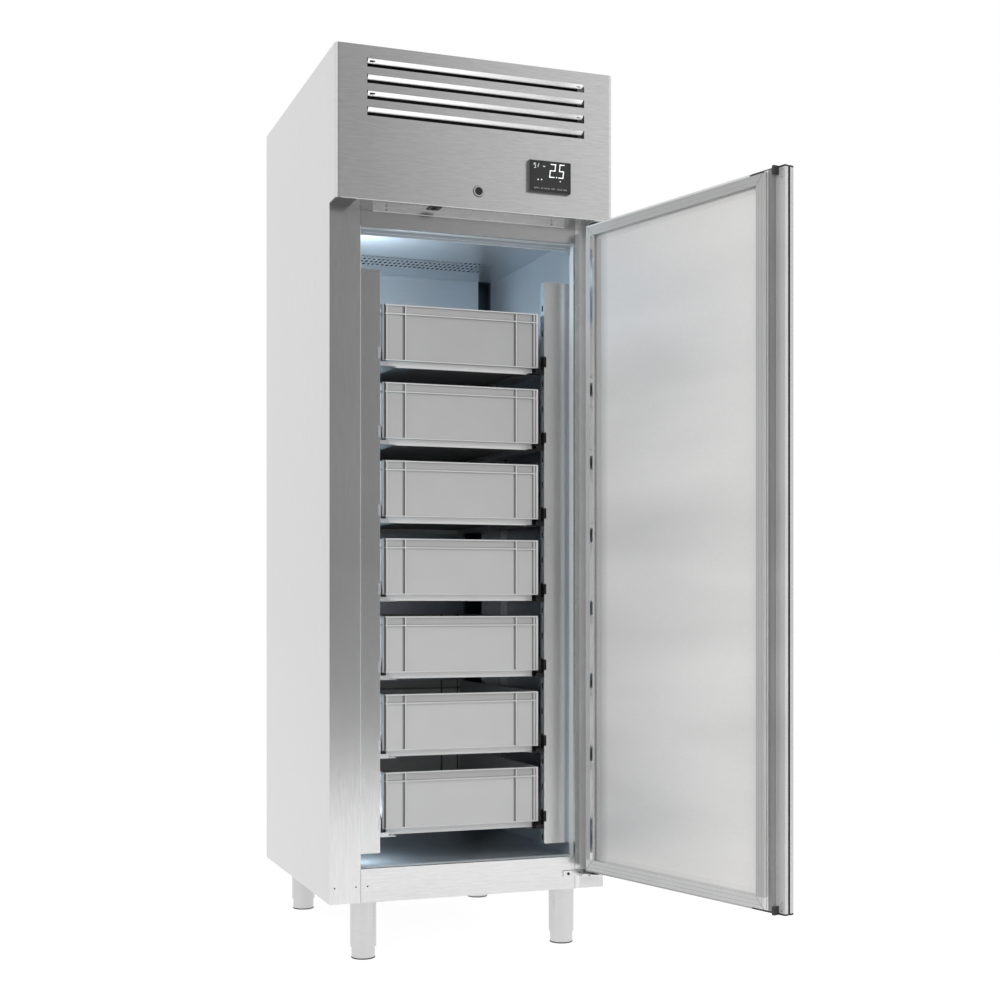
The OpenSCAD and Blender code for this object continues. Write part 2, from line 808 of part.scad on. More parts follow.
// Bracket screwed to the front, with the arm and pin that carry the door
module lower_hinge_bracket() {
    top_z = door_z0 - bracket_gap;
    plate_x0 = open_x - 31;
    color(steel) {
        block([plate_x0, half_w - 4], [front_y - 3, front_y],
              [top_z + bracket_rise - bracket_h, top_z + bracket_rise]);
        block([hinge_x - 34, half_w - 4], [hinge_y, front_y - 2], [top_z - arm_t, top_z]);
        translate([hinge_x, hinge_y, top_z - arm_t])
            cylinder(r = 18, h = arm_t);
        translate([hinge_x, hinge_y, top_z - arm_t])
            cylinder(r = pin_r, h = arm_t + bracket_gap + pin_len);
    }
}

// Plan of a pilaster at the left front: along the wall, across the front and back again
module pilaster_plan() {
    translate([-room_x, rack_y0])
        square([rack_t, rack_flange]);
    translate([-room_x, rack_y0])
        square([room_x - rack_x, rack_t]);
    translate([-rack_x - rack_t, rack_y0])
        square([rack_t, rack_flange]);
}

// A pilaster at the left front, with the row of holes for the runners' hooks
module pilaster() {
    hole_count = floor((rack_h - 40) / hole_pitch);
    hole_z = crate_z + hook_up;
    difference() {
        translate([0, 0, rack_z0])
            linear_extrude(rack_h)
                pilaster_plan();
        for (i = [-1 : hole_count]) {
            z = hole_z + i * hole_pitch;
            if (z > rack_z0 + hole_h && z < rack_z0 + rack_h - hole_h)
                block([-rack_x - rack_t - eps, -rack_x + eps], hook_span(hole_w),
                      [z - hole_h / 2, z + hole_h / 2]);
        }
    }
}

// Depth limits of something of this width centred on the pilaster's flange
function hook_span(w) = [rack_y0 + rack_flange / 2 - w / 2, rack_y0 + rack_flange / 2 + w / 2];

// Turns what is drawn at the front pilaster to the rear one
module to_rear() {
    translate([0, rack_y0 + rack_y1, 0])
        mirror([0, 1, 0])
            children();
}

// Both pilasters at the front
module front_pilasters() {
    color(steel)
        for (side = [0, 1])
            mirror([side, 0, 0])
                pilaster();
}

// Both pilasters at the rear
module rear_pilasters() {
    color(steel)
        for (side = [0, 1])
            mirror([side, 0, 0])
                to_rear()
                    pilaster();
}

// One left runner: upright side, ledge, end stop and the hooks in the pilasters
module runner(z) {
    side_x = -rack_x;
    block([side_x, side_x + rack_t], [rack_y0, rack_y1], [z - slide_gap - rack_t, z + runner_h]);
    block([side_x, side_x + ledge_w], [rack_y0, rack_y1], [z - slide_gap - rack_t, z - slide_gap]);
    block([side_x, -crate_w / 2 + foot_in - 1.5], [rack_y0, rack_y0 + 2], [z - slide_gap - rack_t, z + 9]);
    hook_z = [z + hook_up - hook_h / 2, z + hook_up + hook_h / 2];
    block([side_x - 6, side_x + rack_t], hook_span(hook_w), hook_z);
    to_rear()
        block([side_x - 6, side_x + rack_t], hook_span(hook_w), hook_z);
    block([side_x - hook_lap, side_x + rack_t], [rack_y0 - rack_t, rack_y0], [z + 16, z + runner_h]);
}

// The seven left runners
module runners_left() {
    color(bright)
        for (i = [0 : crate_count - 1])
            runner(crate_z + i * crate_pitch);
}

// The seven right runners
module runners_right() {
    color(bright)
        for (i = [0 : crate_count - 1])
            mirror([1, 0, 0])
                runner(crate_z + i * crate_pitch);
}

// Perforated sheet under the roof, hung by its folded sides
module ceiling_panel() {
    y0 = room_front + breaker_d;
    columns = floor(0.87 * room_x * 2 / air_pitch);
    rows_y0 = plug_y0 + 4;
    color(bright) {
        difference() {
            block([-room_x, room_x], [y0, cowl_y], [ceiling_z, ceiling_z + sheet_t]);
            for (i = [0 : columns - 1], j = [0 : air_rows - 1])
                block([-room_x + 8 + i * air_pitch, -room_x + 8 + i * air_pitch + air_slot_w],
                      [rows_y0 + j * air_row_pitch, rows_y0 + j * air_row_pitch + air_slot_l],
                      [ceiling_z - eps, ceiling_z + sheet_t + eps]);
        }
        for (side = [0, 1])
            mirror([side, 0, 0])
                block([room_x - sheet_t, room_x], [y0, cowl_y], [ceiling_z, ceil_z]);
    }
}

// Cowl on the rear wall that turns the cold air down
module rear_cowl() {
    half = cowl_w / 2;
    z0 = ceiling_z - cowl_h;
    color(bright) {
        block([-half, half], [cowl_y, cowl_y + sheet_t], [z0, ceiling_z]);
        for (side = [0, 1])
            mirror([side, 0, 0])
                block([half - sheet_t, half], [cowl_y, room_rear], [z0, ceiling_z]);
        block([-half, half], [cowl_y - 14, cowl_y + sheet_t], [ceiling_z - sheet_t, ceiling_z]);
    }
}

// Insulated box over the roof opening, which holds the evaporator
module evaporator_box() {
    color(galvanised)
        difference() {
            block([-plug_x1 - plug_wall, plug_x1 + plug_wall], [plug_y0 - plug_wall, plug_y1 + plug_wall],
                  [deck_z, plug_top + plug_wall]);
            block([-plug_x1, plug_x1], [plug_y0, plug_y1], [deck_z - eps, plug_top]);
        }
}

// A finned block with end plates and pipe bends; the fins stand on both sides of a thin middle web
module coil(x, y, z, pitch) {
    web_t = 5;
    fins = floor((x[1] - x[0] - 12) / pitch);
    tubes = floor((z[1] - z[0] - 20) / 50);
    mid = (y[0] + y[1]) / 2;
    difference() {
        block(x, y, z);
        for (i = [0 : fins - 1], face = [0, 1])
            block([x[0] + 6 + i * pitch, x[0] + 6 + (i + 1) * pitch - fin_t],
                  [face == 0 ? y[0] - eps : mid + web_t / 2, face == 0 ? mid - web_t / 2 : y[1] + eps],
                  [z[0] + 5, z[1] - 5]);
    }
    for (i = [0 : tubes - 1], end = [0, 1])
        translate([x[end], mid, z[0] + 35 + i * 50])
            rotate([0, end == 0 ? -90 : 90, 0])
                pipe_bend(12, 4);
}

// Half a ring of pipe that stands on the plane of its two ends
module pipe_bend(bend_r, r) {
    rotate([90, 0, 0])
        rotate_extrude(angle = 180)
            translate([bend_r, 0])
                circle(r = r);
}

// Evaporator coil, hung from the box
module evaporator_coil() {
    x = plug_x1 - 17;
    color(bright) {
        coil([-x, x], [coil_y0, coil_y0 + coil_d], [ceil_z + 30, plug_top - 12],
             evap_fin_pitch);
        for (side = [-1, 1])
            block([side * x - 4, side * x + 4], [coil_y0, coil_y0 + coil_d], [plug_top - 12, plug_top]);
    }
}

// A plate with a ring for the fan, and the motor that its arms hold
module fan_mount(x, z, plate_x, plate_y, plate_z, r, motor_r, motor_len) {
    arm_r = r + fan_gap + 6;
    motor_y = plate_y - fan_stand - motor_len;
    difference() {
        block(plate_x, [plate_y, plate_y + 2], plate_z);
        rod_y(x, z, r + fan_gap, plate_y - eps, plate_y + 2 + eps);
    }
    rod_y(x, z, motor_r, motor_y, plate_y - fan_stand);
    rod_y(x, z, 4, motor_y, plate_y - 5);
    for (a = [90, 210, 330])
        translate([x, 0, z])
            rotate([0, a, 0]) {
                block([motor_r - 4, arm_r], [plate_y - fan_stand - 10, plate_y - fan_stand - 6], [-5, 5]);
                block([arm_r - 4, arm_r], [plate_y - fan_stand - 10, plate_y], [-5, 5]);
            }
}

// A fan of flat, pitched blades round a hub with a bore
module fan(x, z, y, r, blades) {
    hub_r = 0.26 * r;
    translate([x, y, z])
        rotate([-90, 0, 0])
            difference() {
                union() {
                    cylinder(r = hub_r, h = hub_l);
                    intersection() {
                        cylinder(r = r, h = hub_l);
                        for (i = [0 : blades - 1])
                            rotate([0, 0, i * 360 / blades])
                                translate([hub_r - 3, 0, hub_l / 2])
                                    rotate([28, 0, 0])
                                        translate([0, -0.36 * r, -1])
                                            cube([r, 0.72 * r, 2]);
                    }
                }
                translate([0, 0, -eps])
                    cylinder(r = 4 + run_gap, h = hub_l - 4 + eps);
            }
}

// Bulkhead, motor and arms of the evaporator fan
module evaporator_fan_mount() {
    color(galvanised)
        fan_mount(0, evap_axis_z, [-plug_x1, plug_x1], evap_plate_y, [ceil_z + 30, plug_top],
                  evap_fan_r, evap_motor_r, evap_motor_l);
}

// Evaporator fan
module evaporator_fan() {
    color(black)
        fan(0, evap_axis_z, evap_plate_y - hub_l, evap_fan_r, 5);
}

// Condenser on its feet
module condenser() {
    x1 = cond_x0 + cond_w;
    color(galvanised) {
        coil([cond_x0, x1], [cond_y0, cond_y0 + cond_d], [cond_z0, cond_z0 + cond_h], fin_pitch);
        for (x = [cond_x0, x1 - 30])
            block([x, x + 30], [cond_y0, cond_y0 + cond_d], [deck_z, cond_z0]);
    }
}

// Shroud, ring, motor and arms of the condenser fan
module condenser_fan_mount() {
    x = [cond_x0, cond_x0 + cond_w];
    y0 = cond_y0 + cond_d;
    z = [cond_z0, cond_z0 + cond_h];
    color(dark_plastic) {
        difference() {
            block(x, [y0, cond_plate_y + 2], z);
            block([x[0] + 2, x[1] - 2], [y0 - eps, cond_plate_y], [z[0] + 2, z[1] - 2]);
            rod_y(fan_x, fan_z, fan_r + fan_gap, cond_plate_y - eps, cond_plate_y + 2 + eps);
        }
        translate([0, 2 * cond_plate_y + 2, 0])
            mirror([0, 1, 0])
                fan_mount(fan_x, fan_z, x, cond_plate_y, z, fan_r, cond_motor_r, cond_motor_l);
    }
}

// Condenser fan
module condenser_fan() {
    color(black)
        translate([0, 2 * cond_plate_y + 2, 0])
            mirror([0, 1, 0])
                fan(fan_x, fan_z, cond_plate_y - hub_l, fan_r, 5);
}

// Hermetic compressor: domed shell with its welded seam, feet on rubber blocks, terminal box and stubs
module compressor() {
    seam_z = 0.55 * comp_h;
    rows = [[0, 0], [0.5, 0], [0.72, 0.03], [0.9, 0.1], [1, 0.21], [1, 0.79], [0.9, 0.9], [0.72, 0.97],
            [0.5, 1], [0, 1]];
    color(black)
        translate([comp_x, comp_y, comp_z]) {
            rotate_extrude()
                polygon([for (row = rows) [row[0] * comp_r, row[1] * comp_h]]);
            translate([0, 0, seam_z])
                cylinder(r = comp_r + 3, h = 6);
            for (x = [-1, 1]) {
                block([x * 70 - 18, x * 70 + 18], [-75, 75], [-4, 0]);
                block([x * 56 - 2, x * 56 + 2], [-50, 50], [-4, 40]);
            }
            for (x = [-70, 70], y = [-58, 58])
                translate([x, y, deck_z - comp_z])
                    cylinder(r = 13, h = comp_z - deck_z - 4);
            block([comp_r - 8, comp_r + 26], [-32, 32], [60, 118]);
            translate([-40, 20, comp_h - 24])
                cylinder(r = 7, h = 38);
            translate([-20, -44, comp_h - 24])
                cylinder(r = 6, h = 38);
        }
}

// A pipe through a list of points
module pipe(points, r) {
    for (i = [0 : len(points) - 2]) {
        step = points[i + 1] - points[i];
        length = norm(step);
        translate(points[i])
            rotate([0, acos(step[2] / length), atan2(step[1], step[0])])
                cylinder(r = r, h = length);
    }
    for (i = [1 : len(points) - 2])
        translate(points[i])
            sphere(r = r);
}

// Copper lines between compressor, condenser and evaporator, with the drier in the liquid line
module pipework() {
    comp_top = comp_z + comp_h + 14;
    discharge = [comp_x - 20, comp_y - 44, comp_top];
    suction = [comp_x - 40, comp_y + 20, comp_top];
    cond_in = [cond_x0, cond_y0 + cond_d / 2, cond_z0 + cond_h - 14];
    box_y = evap_box_y;
    drier = [cond_x0 - 30, cond_y0 + cond_d / 2 + 40, cond_z0 + 45];
    color(copper) {
        pipe([discharge, discharge + [0, 0, 50], [discharge[0], cond_in[1], discharge[2] + 50],
              [cond_in[0] - 18, cond_in[1], discharge[2] + 50], [cond_in[0] - 18, cond_in[1], cond_in[2]],
              cond_in], pipe_r);
        pipe([suction, suction + [0, 0, 30], [suction[0], box_y - 20, suction[2] + 30],
              [suction[0], box_y - 20, suction_z], [-plug_x1 + 30, box_y - 20, suction_z],
              [-plug_x1 + 30, box_y, suction_z]], pipe_r + 3);
        pipe([[cond_x0, drier[1] - 40, cond_z0 + 14], [drier[0], drier[1] - 40, cond_z0 + 14],
              [drier[0], drier[1], cond_z0 + 14], drier], pipe_r);
        translate(drier)
            cylinder(r = 11, h = 90);
        pipe([drier + [0, 0, 90], drier + [0, 0, 110], [drier[0], box_y - 30, drier[2] + 110],
              [drier[0], box_y, drier[2] + 110]], pipe_r);
    }
}

// Box with the unit's electrical connections
module electrical_box() {
    x1 = cond_x0 + cond_w + 4;
    color(dark_plastic) {
        block([x1 - elec_w, x1], [elec_y, elec_y + elec_d], [deck_z, deck_z + elec_h]);
        block([x1 - elec_w - 2, x1 + 2], [elec_y - 2, elec_y + elec_d + 2],
              [deck_z + elec_h - 6, deck_z + elec_h + 4]);
    }
}

// Centres of the legs, by side and end
function leg_at(side, end) = [side * leg_span_x / 2, end * leg_span_y / 2, 0];

// Fixed sleeves of the four legs, each with its plate
module leg_sleeves() {
    color(bright)
        for (side = [-1, 1], end = [-1, 1])
            translate(leg_at(side, end))
                difference() {
                    union() {
                        translate([0, 0, foot_show])
                            cylinder(r = sleeve_r, h = leg_h - foot_show);
                        translate([0, 0, leg_h - 3])
                            cylinder(r = sleeve_r + 9, h = 3);
                    }
                    translate([0, 0, foot_show - eps])
                        cylinder(r = foot_r + run_gap, h = leg_h - foot_show - 3 + eps);
                }
}

// An adjustable foot: a tube that runs in the sleeve, on a plastic pad
module foot(side, end) {
    top_z = foot_show + foot_travel + 14;
    color(bright)
        translate(leg_at(side, end)) {
            cylinder(r = pad_r, h = pad_h);
            difference() {
                translate([0, 0, pad_h])
                    cylinder(r = foot_r, h = top_z - pad_h);
                translate([0, 0, pad_h + 3])
                    cylinder(r = foot_r - 2, h = top_z);
            }
        }
}

// Stands what is drawn at the shut door's place at the open door's place
module opened() {
    translate([hinge_x, hinge_y, 0])
        rotate([0, 0, door_angle])
            translate([-hinge_x, -hinge_y, 0])
                children();
}

// Space that the plastic caps take at the free corners
module cap_space(extra) {
    for (z = [door_z0, door_z1 - cap_t])
        block([door_x0 - extra, door_x0 + cap_len], [fascia_y - extra, margin_plane_y + extra],
              [z == door_z0 ? z - extra : z, z == door_z0 ? z + cap_t : z + cap_t + extra]);
    cap_lug(door_z0);
    cap_lug(door_z1 - lug_h);
}

// Round holes for the hinge bushes, at both ends of the door
module bush_holes() {
    translate([hinge_x, hinge_y, door_z0 - eps])
        cylinder(r = bush_r, h = pin_len + 5 + eps);
    translate([hinge_x, hinge_y, door_z1 - pin_len - 5])
        cylinder(r = bush_r, h = pin_len + 5 + eps);
}

// Pocket in the door's top for the striker
module striker_body(extra) {
    half = bolt_w / 2 + striker_slack + 2.5;
    block([bolt_x - half - extra, bolt_x + half + extra], [bolt_y - 6 - extra, bolt_y + bolt_t + 6 + extra],
          [door_z1 - 14 - extra, door_z1 + 3.5]);
}

// Outer skin of the door, folded round its edges
module door_skin() {
    skin_y1 = margin_plane_y - sheet_t;
    color(steel)
        opened()
            difference() {
                union() {
                    difference() {
                        door_prism(0, skin_y1);
                        translate([0, 0, sheet_t])
                            door_prism(sheet_t, skin_y1 + eps);
                        block([door_x0 - eps, door_x0 + hem_w + eps], [groove_y0, margin_plane_y],
                              [door_z0 - eps, door_z1 + eps]);
                    }
                    block([door_x0 + sheet_t / 2, door_x0 + hem_w], [groove_y0 - sheet_t, groove_y0],
                          [door_z0, door_z1]);
                }
                cap_space(eps);
                bush_holes();
                striker_body(0);
                groove_space();
            }
}

// The door's outer form in plan, stretched over its height, or less by an inset all round
module door_prism(inset, y1) {
    translate([0, 0, door_z0])
        linear_extrude(door_z1 - door_z0 - 2 * inset)
            front_plan(door_x0 + inset, door_x1 - inset, fascia_y + inset, y1, corner_r - inset);
}

// The room of the grip groove and its plastic lining
module groove_space() {
    block([door_x0 - eps, door_x0 + groove_d + grip_wall], [groove_y0, groove_y1],
          [door_z0 - eps, door_z1 + eps]);
}

// A dish with four sloped sides, sunk in the inner panel, or grown by a margin
module dish(grow) {
    x1 = plug_x - gasket_side - gasket_w - 2 + grow;
    z0 = plug_z0 + gasket_top + gasket_w + 2 - grow;
    z1 = plug_z1 - gasket_top - gasket_w - 2 + grow;
    y0 = plug_y - dish_d - grow;
    y1 = plug_y + (grow > 0 ? 0 : eps);
    intersection() {
        translate([0, 0, z0])
            linear_extrude(z1 - z0)
                polygon([[-x1, y1], [x1, y1], [x1 - dish_slope, y0], [-x1 + dish_slope, y0]]);
        across(-x1, x1)
            polygon([[y1, z0], [y1, z1], [y0, z1 - dish_slope], [y0, z0 + dish_slope]]);
    }
}

// The hollow of the inner panel, up to this depth
module plug_hollow(y1) {
    block([-plug_x + sheet_t, plug_x - sheet_t], [margin_plane_y - 2 * sheet_t, y1],
          [plug_z0 + sheet_t, plug_z1 - sheet_t]);
}

// Foam inside the door
module door_core() {
    color(foam_yellow)
        opened()
            difference() {
                union() {
                    translate([0, 0, sheet_t])
                        door_prism(sheet_t, margin_plane_y - sheet_t);
                    plug_hollow(plug_y - sheet_t);
                }
                dish(sheet_t);
                block([door_x0, door_x0 + groove_d + grip_wall], [groove_y0 - sheet_t, groove_y1 + sheet_t],
                      [door_z0, door_z1]);
                block([door_x0, door_x0 + sheet_t], [groove_y0 - eps, margin_plane_y], [door_z0, door_z1]);
                cap_space(eps);
                bush_holes();
                striker_body(0);
            }
}

// Inner sheet of the door: margins, raised panel and its dish
module door_liner() {
    color(panel_white)
        opened()
            difference() {
                union() {
                    block([door_x0, door_x1], [margin_plane_y - sheet_t, margin_plane_y], [door_z0, door_z1]);
                    block([door_x0, door_x0 + sheet_t], [groove_y1, margin_plane_y], [door_z0, door_z1]);
                    block([door_x0, door_x0 + hem_w], [groove_y1, groove_y1 + sheet_t], [door_z0, door_z1]);
                    difference() {
                        block([-plug_x, plug_x], [margin_plane_y - sheet_t, plug_y], [plug_z0, plug_z1]);
                        plug_hollow(plug_y - sheet_t);
                    }
                    dish(sheet_t);
                }
                plug_hollow(plug_y - dish_d - 2 * sheet_t);
                dish(0);
                cap_space(eps);
            }
}

// One step of the gasket: a ring of this width, set in from the sealing face's outer edge
module gasket_ring(inset, width, y0, y1) {
    x = plug_x - gasket_side - inset;
    z0 = plug_z0 + gasket_top + inset;
    z1 = plug_z1 - gasket_top - inset;
    difference() {
        block([-x, x], [y0, y1], [z0, z1]);
        block([-x + width, x - width], [y0 - eps, y1 + eps], [z0 + width, z1 - width]);
    }
}

// Magnetic gasket: foot, bellows and sealing bead
module door_gasket() {
    seal_y = front_y - seal_gap;
    bead = (seal_y - plug_y) / 2;
    color(grey_rubber)
        opened() {
            gasket_ring(1, 18, plug_y, plug_y + 2.5);
            gasket_ring(4, 10, plug_y + 2.5, seal_y - bead);
            gasket_ring(0, gasket_w, seal_y - bead, seal_y);
        }
}

// Plastic lining of the grip groove
module door_grip() {
    color(dark_plastic)
        opened()
            difference() {
                block([door_x0 + 0.5, door_x0 + groove_d + grip_wall], [groove_y0, groove_y1],
                      [door_z0 + cap_t, door_z1 - cap_t]);
                block([door_x0 - eps, door_x0 + groove_d], [groove_y0 + grip_wall, groove_y1 - grip_wall],
                      [door_z0, door_z1]);
            }
}

// Plan of a corner cap, with the groove's mouth cut in
module cap_plan() {
    difference() {
        front_plan(door_x0, door_x0 + cap_len + corner_r, fascia_y, margin_plane_y, corner_r);
        translate([door_x0 + cap_len, fascia_y - eps])
            square([corner_r + eps, door_shell_t + 2 * eps]);
        translate([door_x0 - eps, groove_y0 + grip_wall])
            square([groove_d + eps, groove_w - 2 * grip_wall]);
    }
}

// Small block that a cap has on the door's margin
module cap_lug(z) {
    block([door_x0 + margin_w - 7, door_x0 + margin_w], [margin_plane_y - 2, plug_y - 1], [z, z + lug_h]);
}

// Cap at the door's upper free corner, with its small block
module door_cap_top() {
    color(dark_plastic)
        opened() {
            translate([0, 0, door_z1 - cap_t])
                linear_extrude(cap_t)
                    cap_plan();
            cap_lug(door_z1 - lug_h);
        }
}

// Cap at the door's lower free corner, with its small block
module door_cap_bottom() {
    color(dark_plastic)
        opened() {
            translate([0, 0, door_z0])
                linear_extrude(cap_t)
                    cap_plan();
            cap_lug(door_z0);
        }
}

// Black striker that the lock's bolt drops into
module door_striker() {
    color(black)
        opened()
            difference() {
                striker_body(0);
                block([bolt_x - bolt_w / 2 - striker_slack, bolt_x + bolt_w / 2 + striker_slack],
                      [bolt_y - striker_slack, bolt_y + bolt_t + striker_slack],
                      [door_z1 - 12, door_z1 + 5]);
            }
}

// Plastic bushes in which the hinge pins turn
module door_bushes() {
    flange_low = bracket_gap - slide_gap;
    color(dark_plastic)
        opened()
            difference() {
                union() {
                    translate([hinge_x, hinge_y, door_z0])
                        cylinder(r = bush_r, h = pin_len + 5);
                    translate([hinge_x, hinge_y, door_z0 - flange_low])
                        cylinder(r = bush_flange_r, h = flange_low);
                    translate([hinge_x, hinge_y, door_z1 - pin_len - 5])
                        cylinder(r = bush_r, h = pin_len + 5);
                    translate([hinge_x, hinge_y, door_z1])
                        cylinder(r = bush_flange_r, h = 1.2);
                }
                translate([hinge_x, hinge_y, door_z0 - 2 * flange_low])
                    cylinder(r = pin_r + run_gap, h = 2 * flange_low + pin_len + 1);
                translate([hinge_x, hinge_y, door_z1 - pin_len - 1])
                    cylinder(r = pin_r + run_gap, h = pin_len + 1 + 2 * flange_low);
            }
}

// A crate: inset walls, stacking foot, gripping rim and outside ribs
module crate(number) {
    half = crate_w / 2;
    wall = half - rib_d;
    color(crate_grey)
        translate([0, crate_y, crate_z + (number - 1) * crate_pitch]) {
            difference() {
                union() {
                    block([-wall, wall], [rib_d, crate_l - rib_d], [foot_h, crate_h]);
                    block([-half + foot_in, half - foot_in], [foot_in, crate_l - foot_in], [0, foot_h + 1]);
                    crate_ribs();
                }
                block([-wall + crate_t, wall - crate_t], [rib_d + crate_t, crate_l - rib_d - crate_t],
                      [foot_h + crate_t, crate_h + eps]);
                block([-half + foot_in + 8, half - foot_in - 8], [foot_in + 8, crate_l - foot_in - 8],
                      [-eps, foot_h - crate_t]);
            }
        }
}

// Ribs of a crate: three bands round it and the uprights
module crate_ribs() {
    half = crate_w / 2;
    for (z = [foot_h, crate_h - rim_h, crate_h - rib_w])
        block([-half, half], [0, crate_l], [z, z + (z == foot_h ? crate_t : rib_w)]);
    for (side = [0, 1])
        mirror([side, 0, 0]) {
            for (x = [half - rib_in, half - 9])
                block([x - rib_w, x], [0, crate_l], [foot_h, crate_h]);
            for (i = [0 : 3])
                block([half - rib_d - 1, half], [rib_in + i * (crate_l - 2 * rib_in) / 3 - rib_w / 2,
                      rib_in + i * (crate_l - 2 * rib_in) / 3 + rib_w / 2], [foot_h, crate_h]);
            block([half - rib_d - 1, half], [0, rib_w], [foot_h, crate_h]);
            block([half - rib_d - 1, half], [crate_l - rib_w, crate_l], [foot_h, crate_h]);
        }
}

side_panel();  // side_panel_left
mirror([1, 0, 0]) side_panel();  // side_panel_right
back_panel();
base_panel();
roof_panel();
insulation();
inner_liner();
breaker_frame();
lamp_profile();
lamp_diffuser();
fascia();
dust_filter();
controller_housing();
controller_glass();
lock_housing();
lock_barrel();
lock_bolt();
switch_housing();
switch_button();
corner_plug();
upper_hinge_plate();
lower_hinge_bracket();
front_pilasters();
rear_pilasters();
runners_left();
runners_right();
ceiling_panel();
rear_cowl();
evaporator_box();
evaporator_coil();
evaporator_fan_mount();
evaporator_fan();
condenser();
condenser_fan_mount();
condenser_fan();
compressor();
pipework();
electrical_box();
leg_sleeves();
foot(-1, -1);  // foot_front_left
foot(1, -1);  // foot_front_right
foot(-1, 1);  // foot_rear_left
foot(1, 1);  // foot_rear_right
door_skin();
door_core();
door_liner();
door_gasket();
door_grip();
door_cap_top();
door_cap_bottom();
door_striker();
door_bushes();
crate(1);  // crate_1
crate(2);  // crate_2
crate(3);  // crate_3
crate(4);  // crate_4
crate(5);  // crate_5
crate(6);  // crate_6
crate(7);  // crate_7
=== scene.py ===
"""Fish refrigerator: materials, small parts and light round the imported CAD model."""
import json
import math

import bmesh
import bpy
from mathutils import Matrix, Vector


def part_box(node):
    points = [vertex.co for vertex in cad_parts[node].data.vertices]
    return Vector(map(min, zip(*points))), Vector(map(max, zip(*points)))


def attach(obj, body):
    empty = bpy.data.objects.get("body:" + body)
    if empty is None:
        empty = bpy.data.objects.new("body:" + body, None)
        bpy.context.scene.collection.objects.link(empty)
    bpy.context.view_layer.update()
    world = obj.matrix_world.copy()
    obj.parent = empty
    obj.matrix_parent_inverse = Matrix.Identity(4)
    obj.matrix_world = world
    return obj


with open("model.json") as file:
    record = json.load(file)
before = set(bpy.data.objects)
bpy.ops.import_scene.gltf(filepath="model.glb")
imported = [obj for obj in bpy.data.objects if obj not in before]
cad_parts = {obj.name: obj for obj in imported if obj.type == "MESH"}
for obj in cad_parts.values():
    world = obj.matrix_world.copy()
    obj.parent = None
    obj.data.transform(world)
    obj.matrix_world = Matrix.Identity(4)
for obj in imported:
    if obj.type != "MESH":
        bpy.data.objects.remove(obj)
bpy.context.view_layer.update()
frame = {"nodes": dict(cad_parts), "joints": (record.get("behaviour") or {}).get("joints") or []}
nodes = frame["nodes"]
joints = {joint["name"]: joint for joint in frame["joints"]}
scene = bpy.context.scene

LEFT, RIGHT = Vector((-1, 0, 0)), Vector((1, 0, 0))
FRONT, REAR = Vector((0, -1, 0)), Vector((0, 1, 0))
DOWN, UP = Vector((0, 0, -1)), Vector((0, 0, 1))

# Planes and edges of the cabinet, in metres
BODY_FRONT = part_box("base_panel")[0][1]
BODY_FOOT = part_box("base_panel")[0][2]
RAIL_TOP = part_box("base_panel")[1][2]
LINTEL_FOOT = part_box("roof_panel")[0][2]
OPENING_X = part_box("side_panel_right")[0][0]
# The cover's front, the foot and the half width of its flange, and its own lower edge above the flange
COVER_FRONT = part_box("fascia")[0][1]
COVER_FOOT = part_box("fascia")[0][2]
FLANGE_X = OPENING_X - 0.029
COVER_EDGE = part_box("upper_hinge_plate")[1][2]
# The chamber's floor, over the liner's foot
LINER_SHEET = 0.001
CHAMBER_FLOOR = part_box("inner_liner")[0][2] + LINER_SHEET

# The front plane, height and half width of a crate
CRATE_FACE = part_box("crate_1")[0][1]
CRATE_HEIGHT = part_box("crate_1")[1][2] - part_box("crate_1")[0][2]
CRATE_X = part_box("crate_1")[1][0]

# The slanting faces of the cover's blades: their normal, pitch and number
BLADE_NORMAL = Vector((0, -0.765, -0.644))
BLADE_STEP = 0.0374
BLADE_COUNT = 4

# Turns what is placed on the shut door to the open door
HINGE = Vector(joints["door_hinge"]["pos_m"])
OPEN_ANGLE = math.radians(-joints["door_hinge"]["range_deg"][0])
OPEN = Matrix.Translation(HINGE) @ Matrix.Rotation(OPEN_ANGLE, 4, "Z") @ Matrix.Translation(-HINGE)
OPEN_TURN = OPEN.to_3x3()

# The gasket on the shut door: its outer edges, its face and its width
GASKET_X = 0.3015
GASKET_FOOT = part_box("door_gasket")[0][2]
GASKET_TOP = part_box("door_gasket")[1][2]
GASKET_FACE = -0.3634
GASKET_W = 0.025

# Shader nodes


def shader(name):
    """A new Principled material, its node tree and its shader node."""
    mat = bpy.data.materials.new(name)
    mat.use_nodes = True
    tree = mat.node_tree
    return mat, tree, tree.nodes["Principled BSDF"]


def feed(tree, socket, value):
    """Links an input to another node's socket, or sets it to a constant."""
    if isinstance(value, bpy.types.NodeSocket):
        tree.links.new(value, socket)
    else:
        socket.default_value = value


def coords(tree, scale, turn=(0, 0, 0)):
    """Object coordinates in metres, stretched by scale."""
    tex = tree.nodes.new("ShaderNodeTexCoord")
    mapping = tree.nodes.new("ShaderNodeMapping")
    mapping.inputs["Scale"].default_value = scale
    mapping.inputs["Rotation"].default_value = turn
    tree.links.new(tex.outputs["Object"], mapping.inputs["Vector"])
    return mapping.outputs["Vector"]


def noise(tree, vector, detail=4.0, rough=0.6):
    tex = tree.nodes.new("ShaderNodeTexNoise")
    tex.inputs["Scale"].default_value = 1.0
    tex.inputs["Detail"].default_value = detail
    tex.inputs["Roughness"].default_value = rough
    tree.links.new(vector, tex.inputs["Vector"])
    return tex.outputs["Fac"]


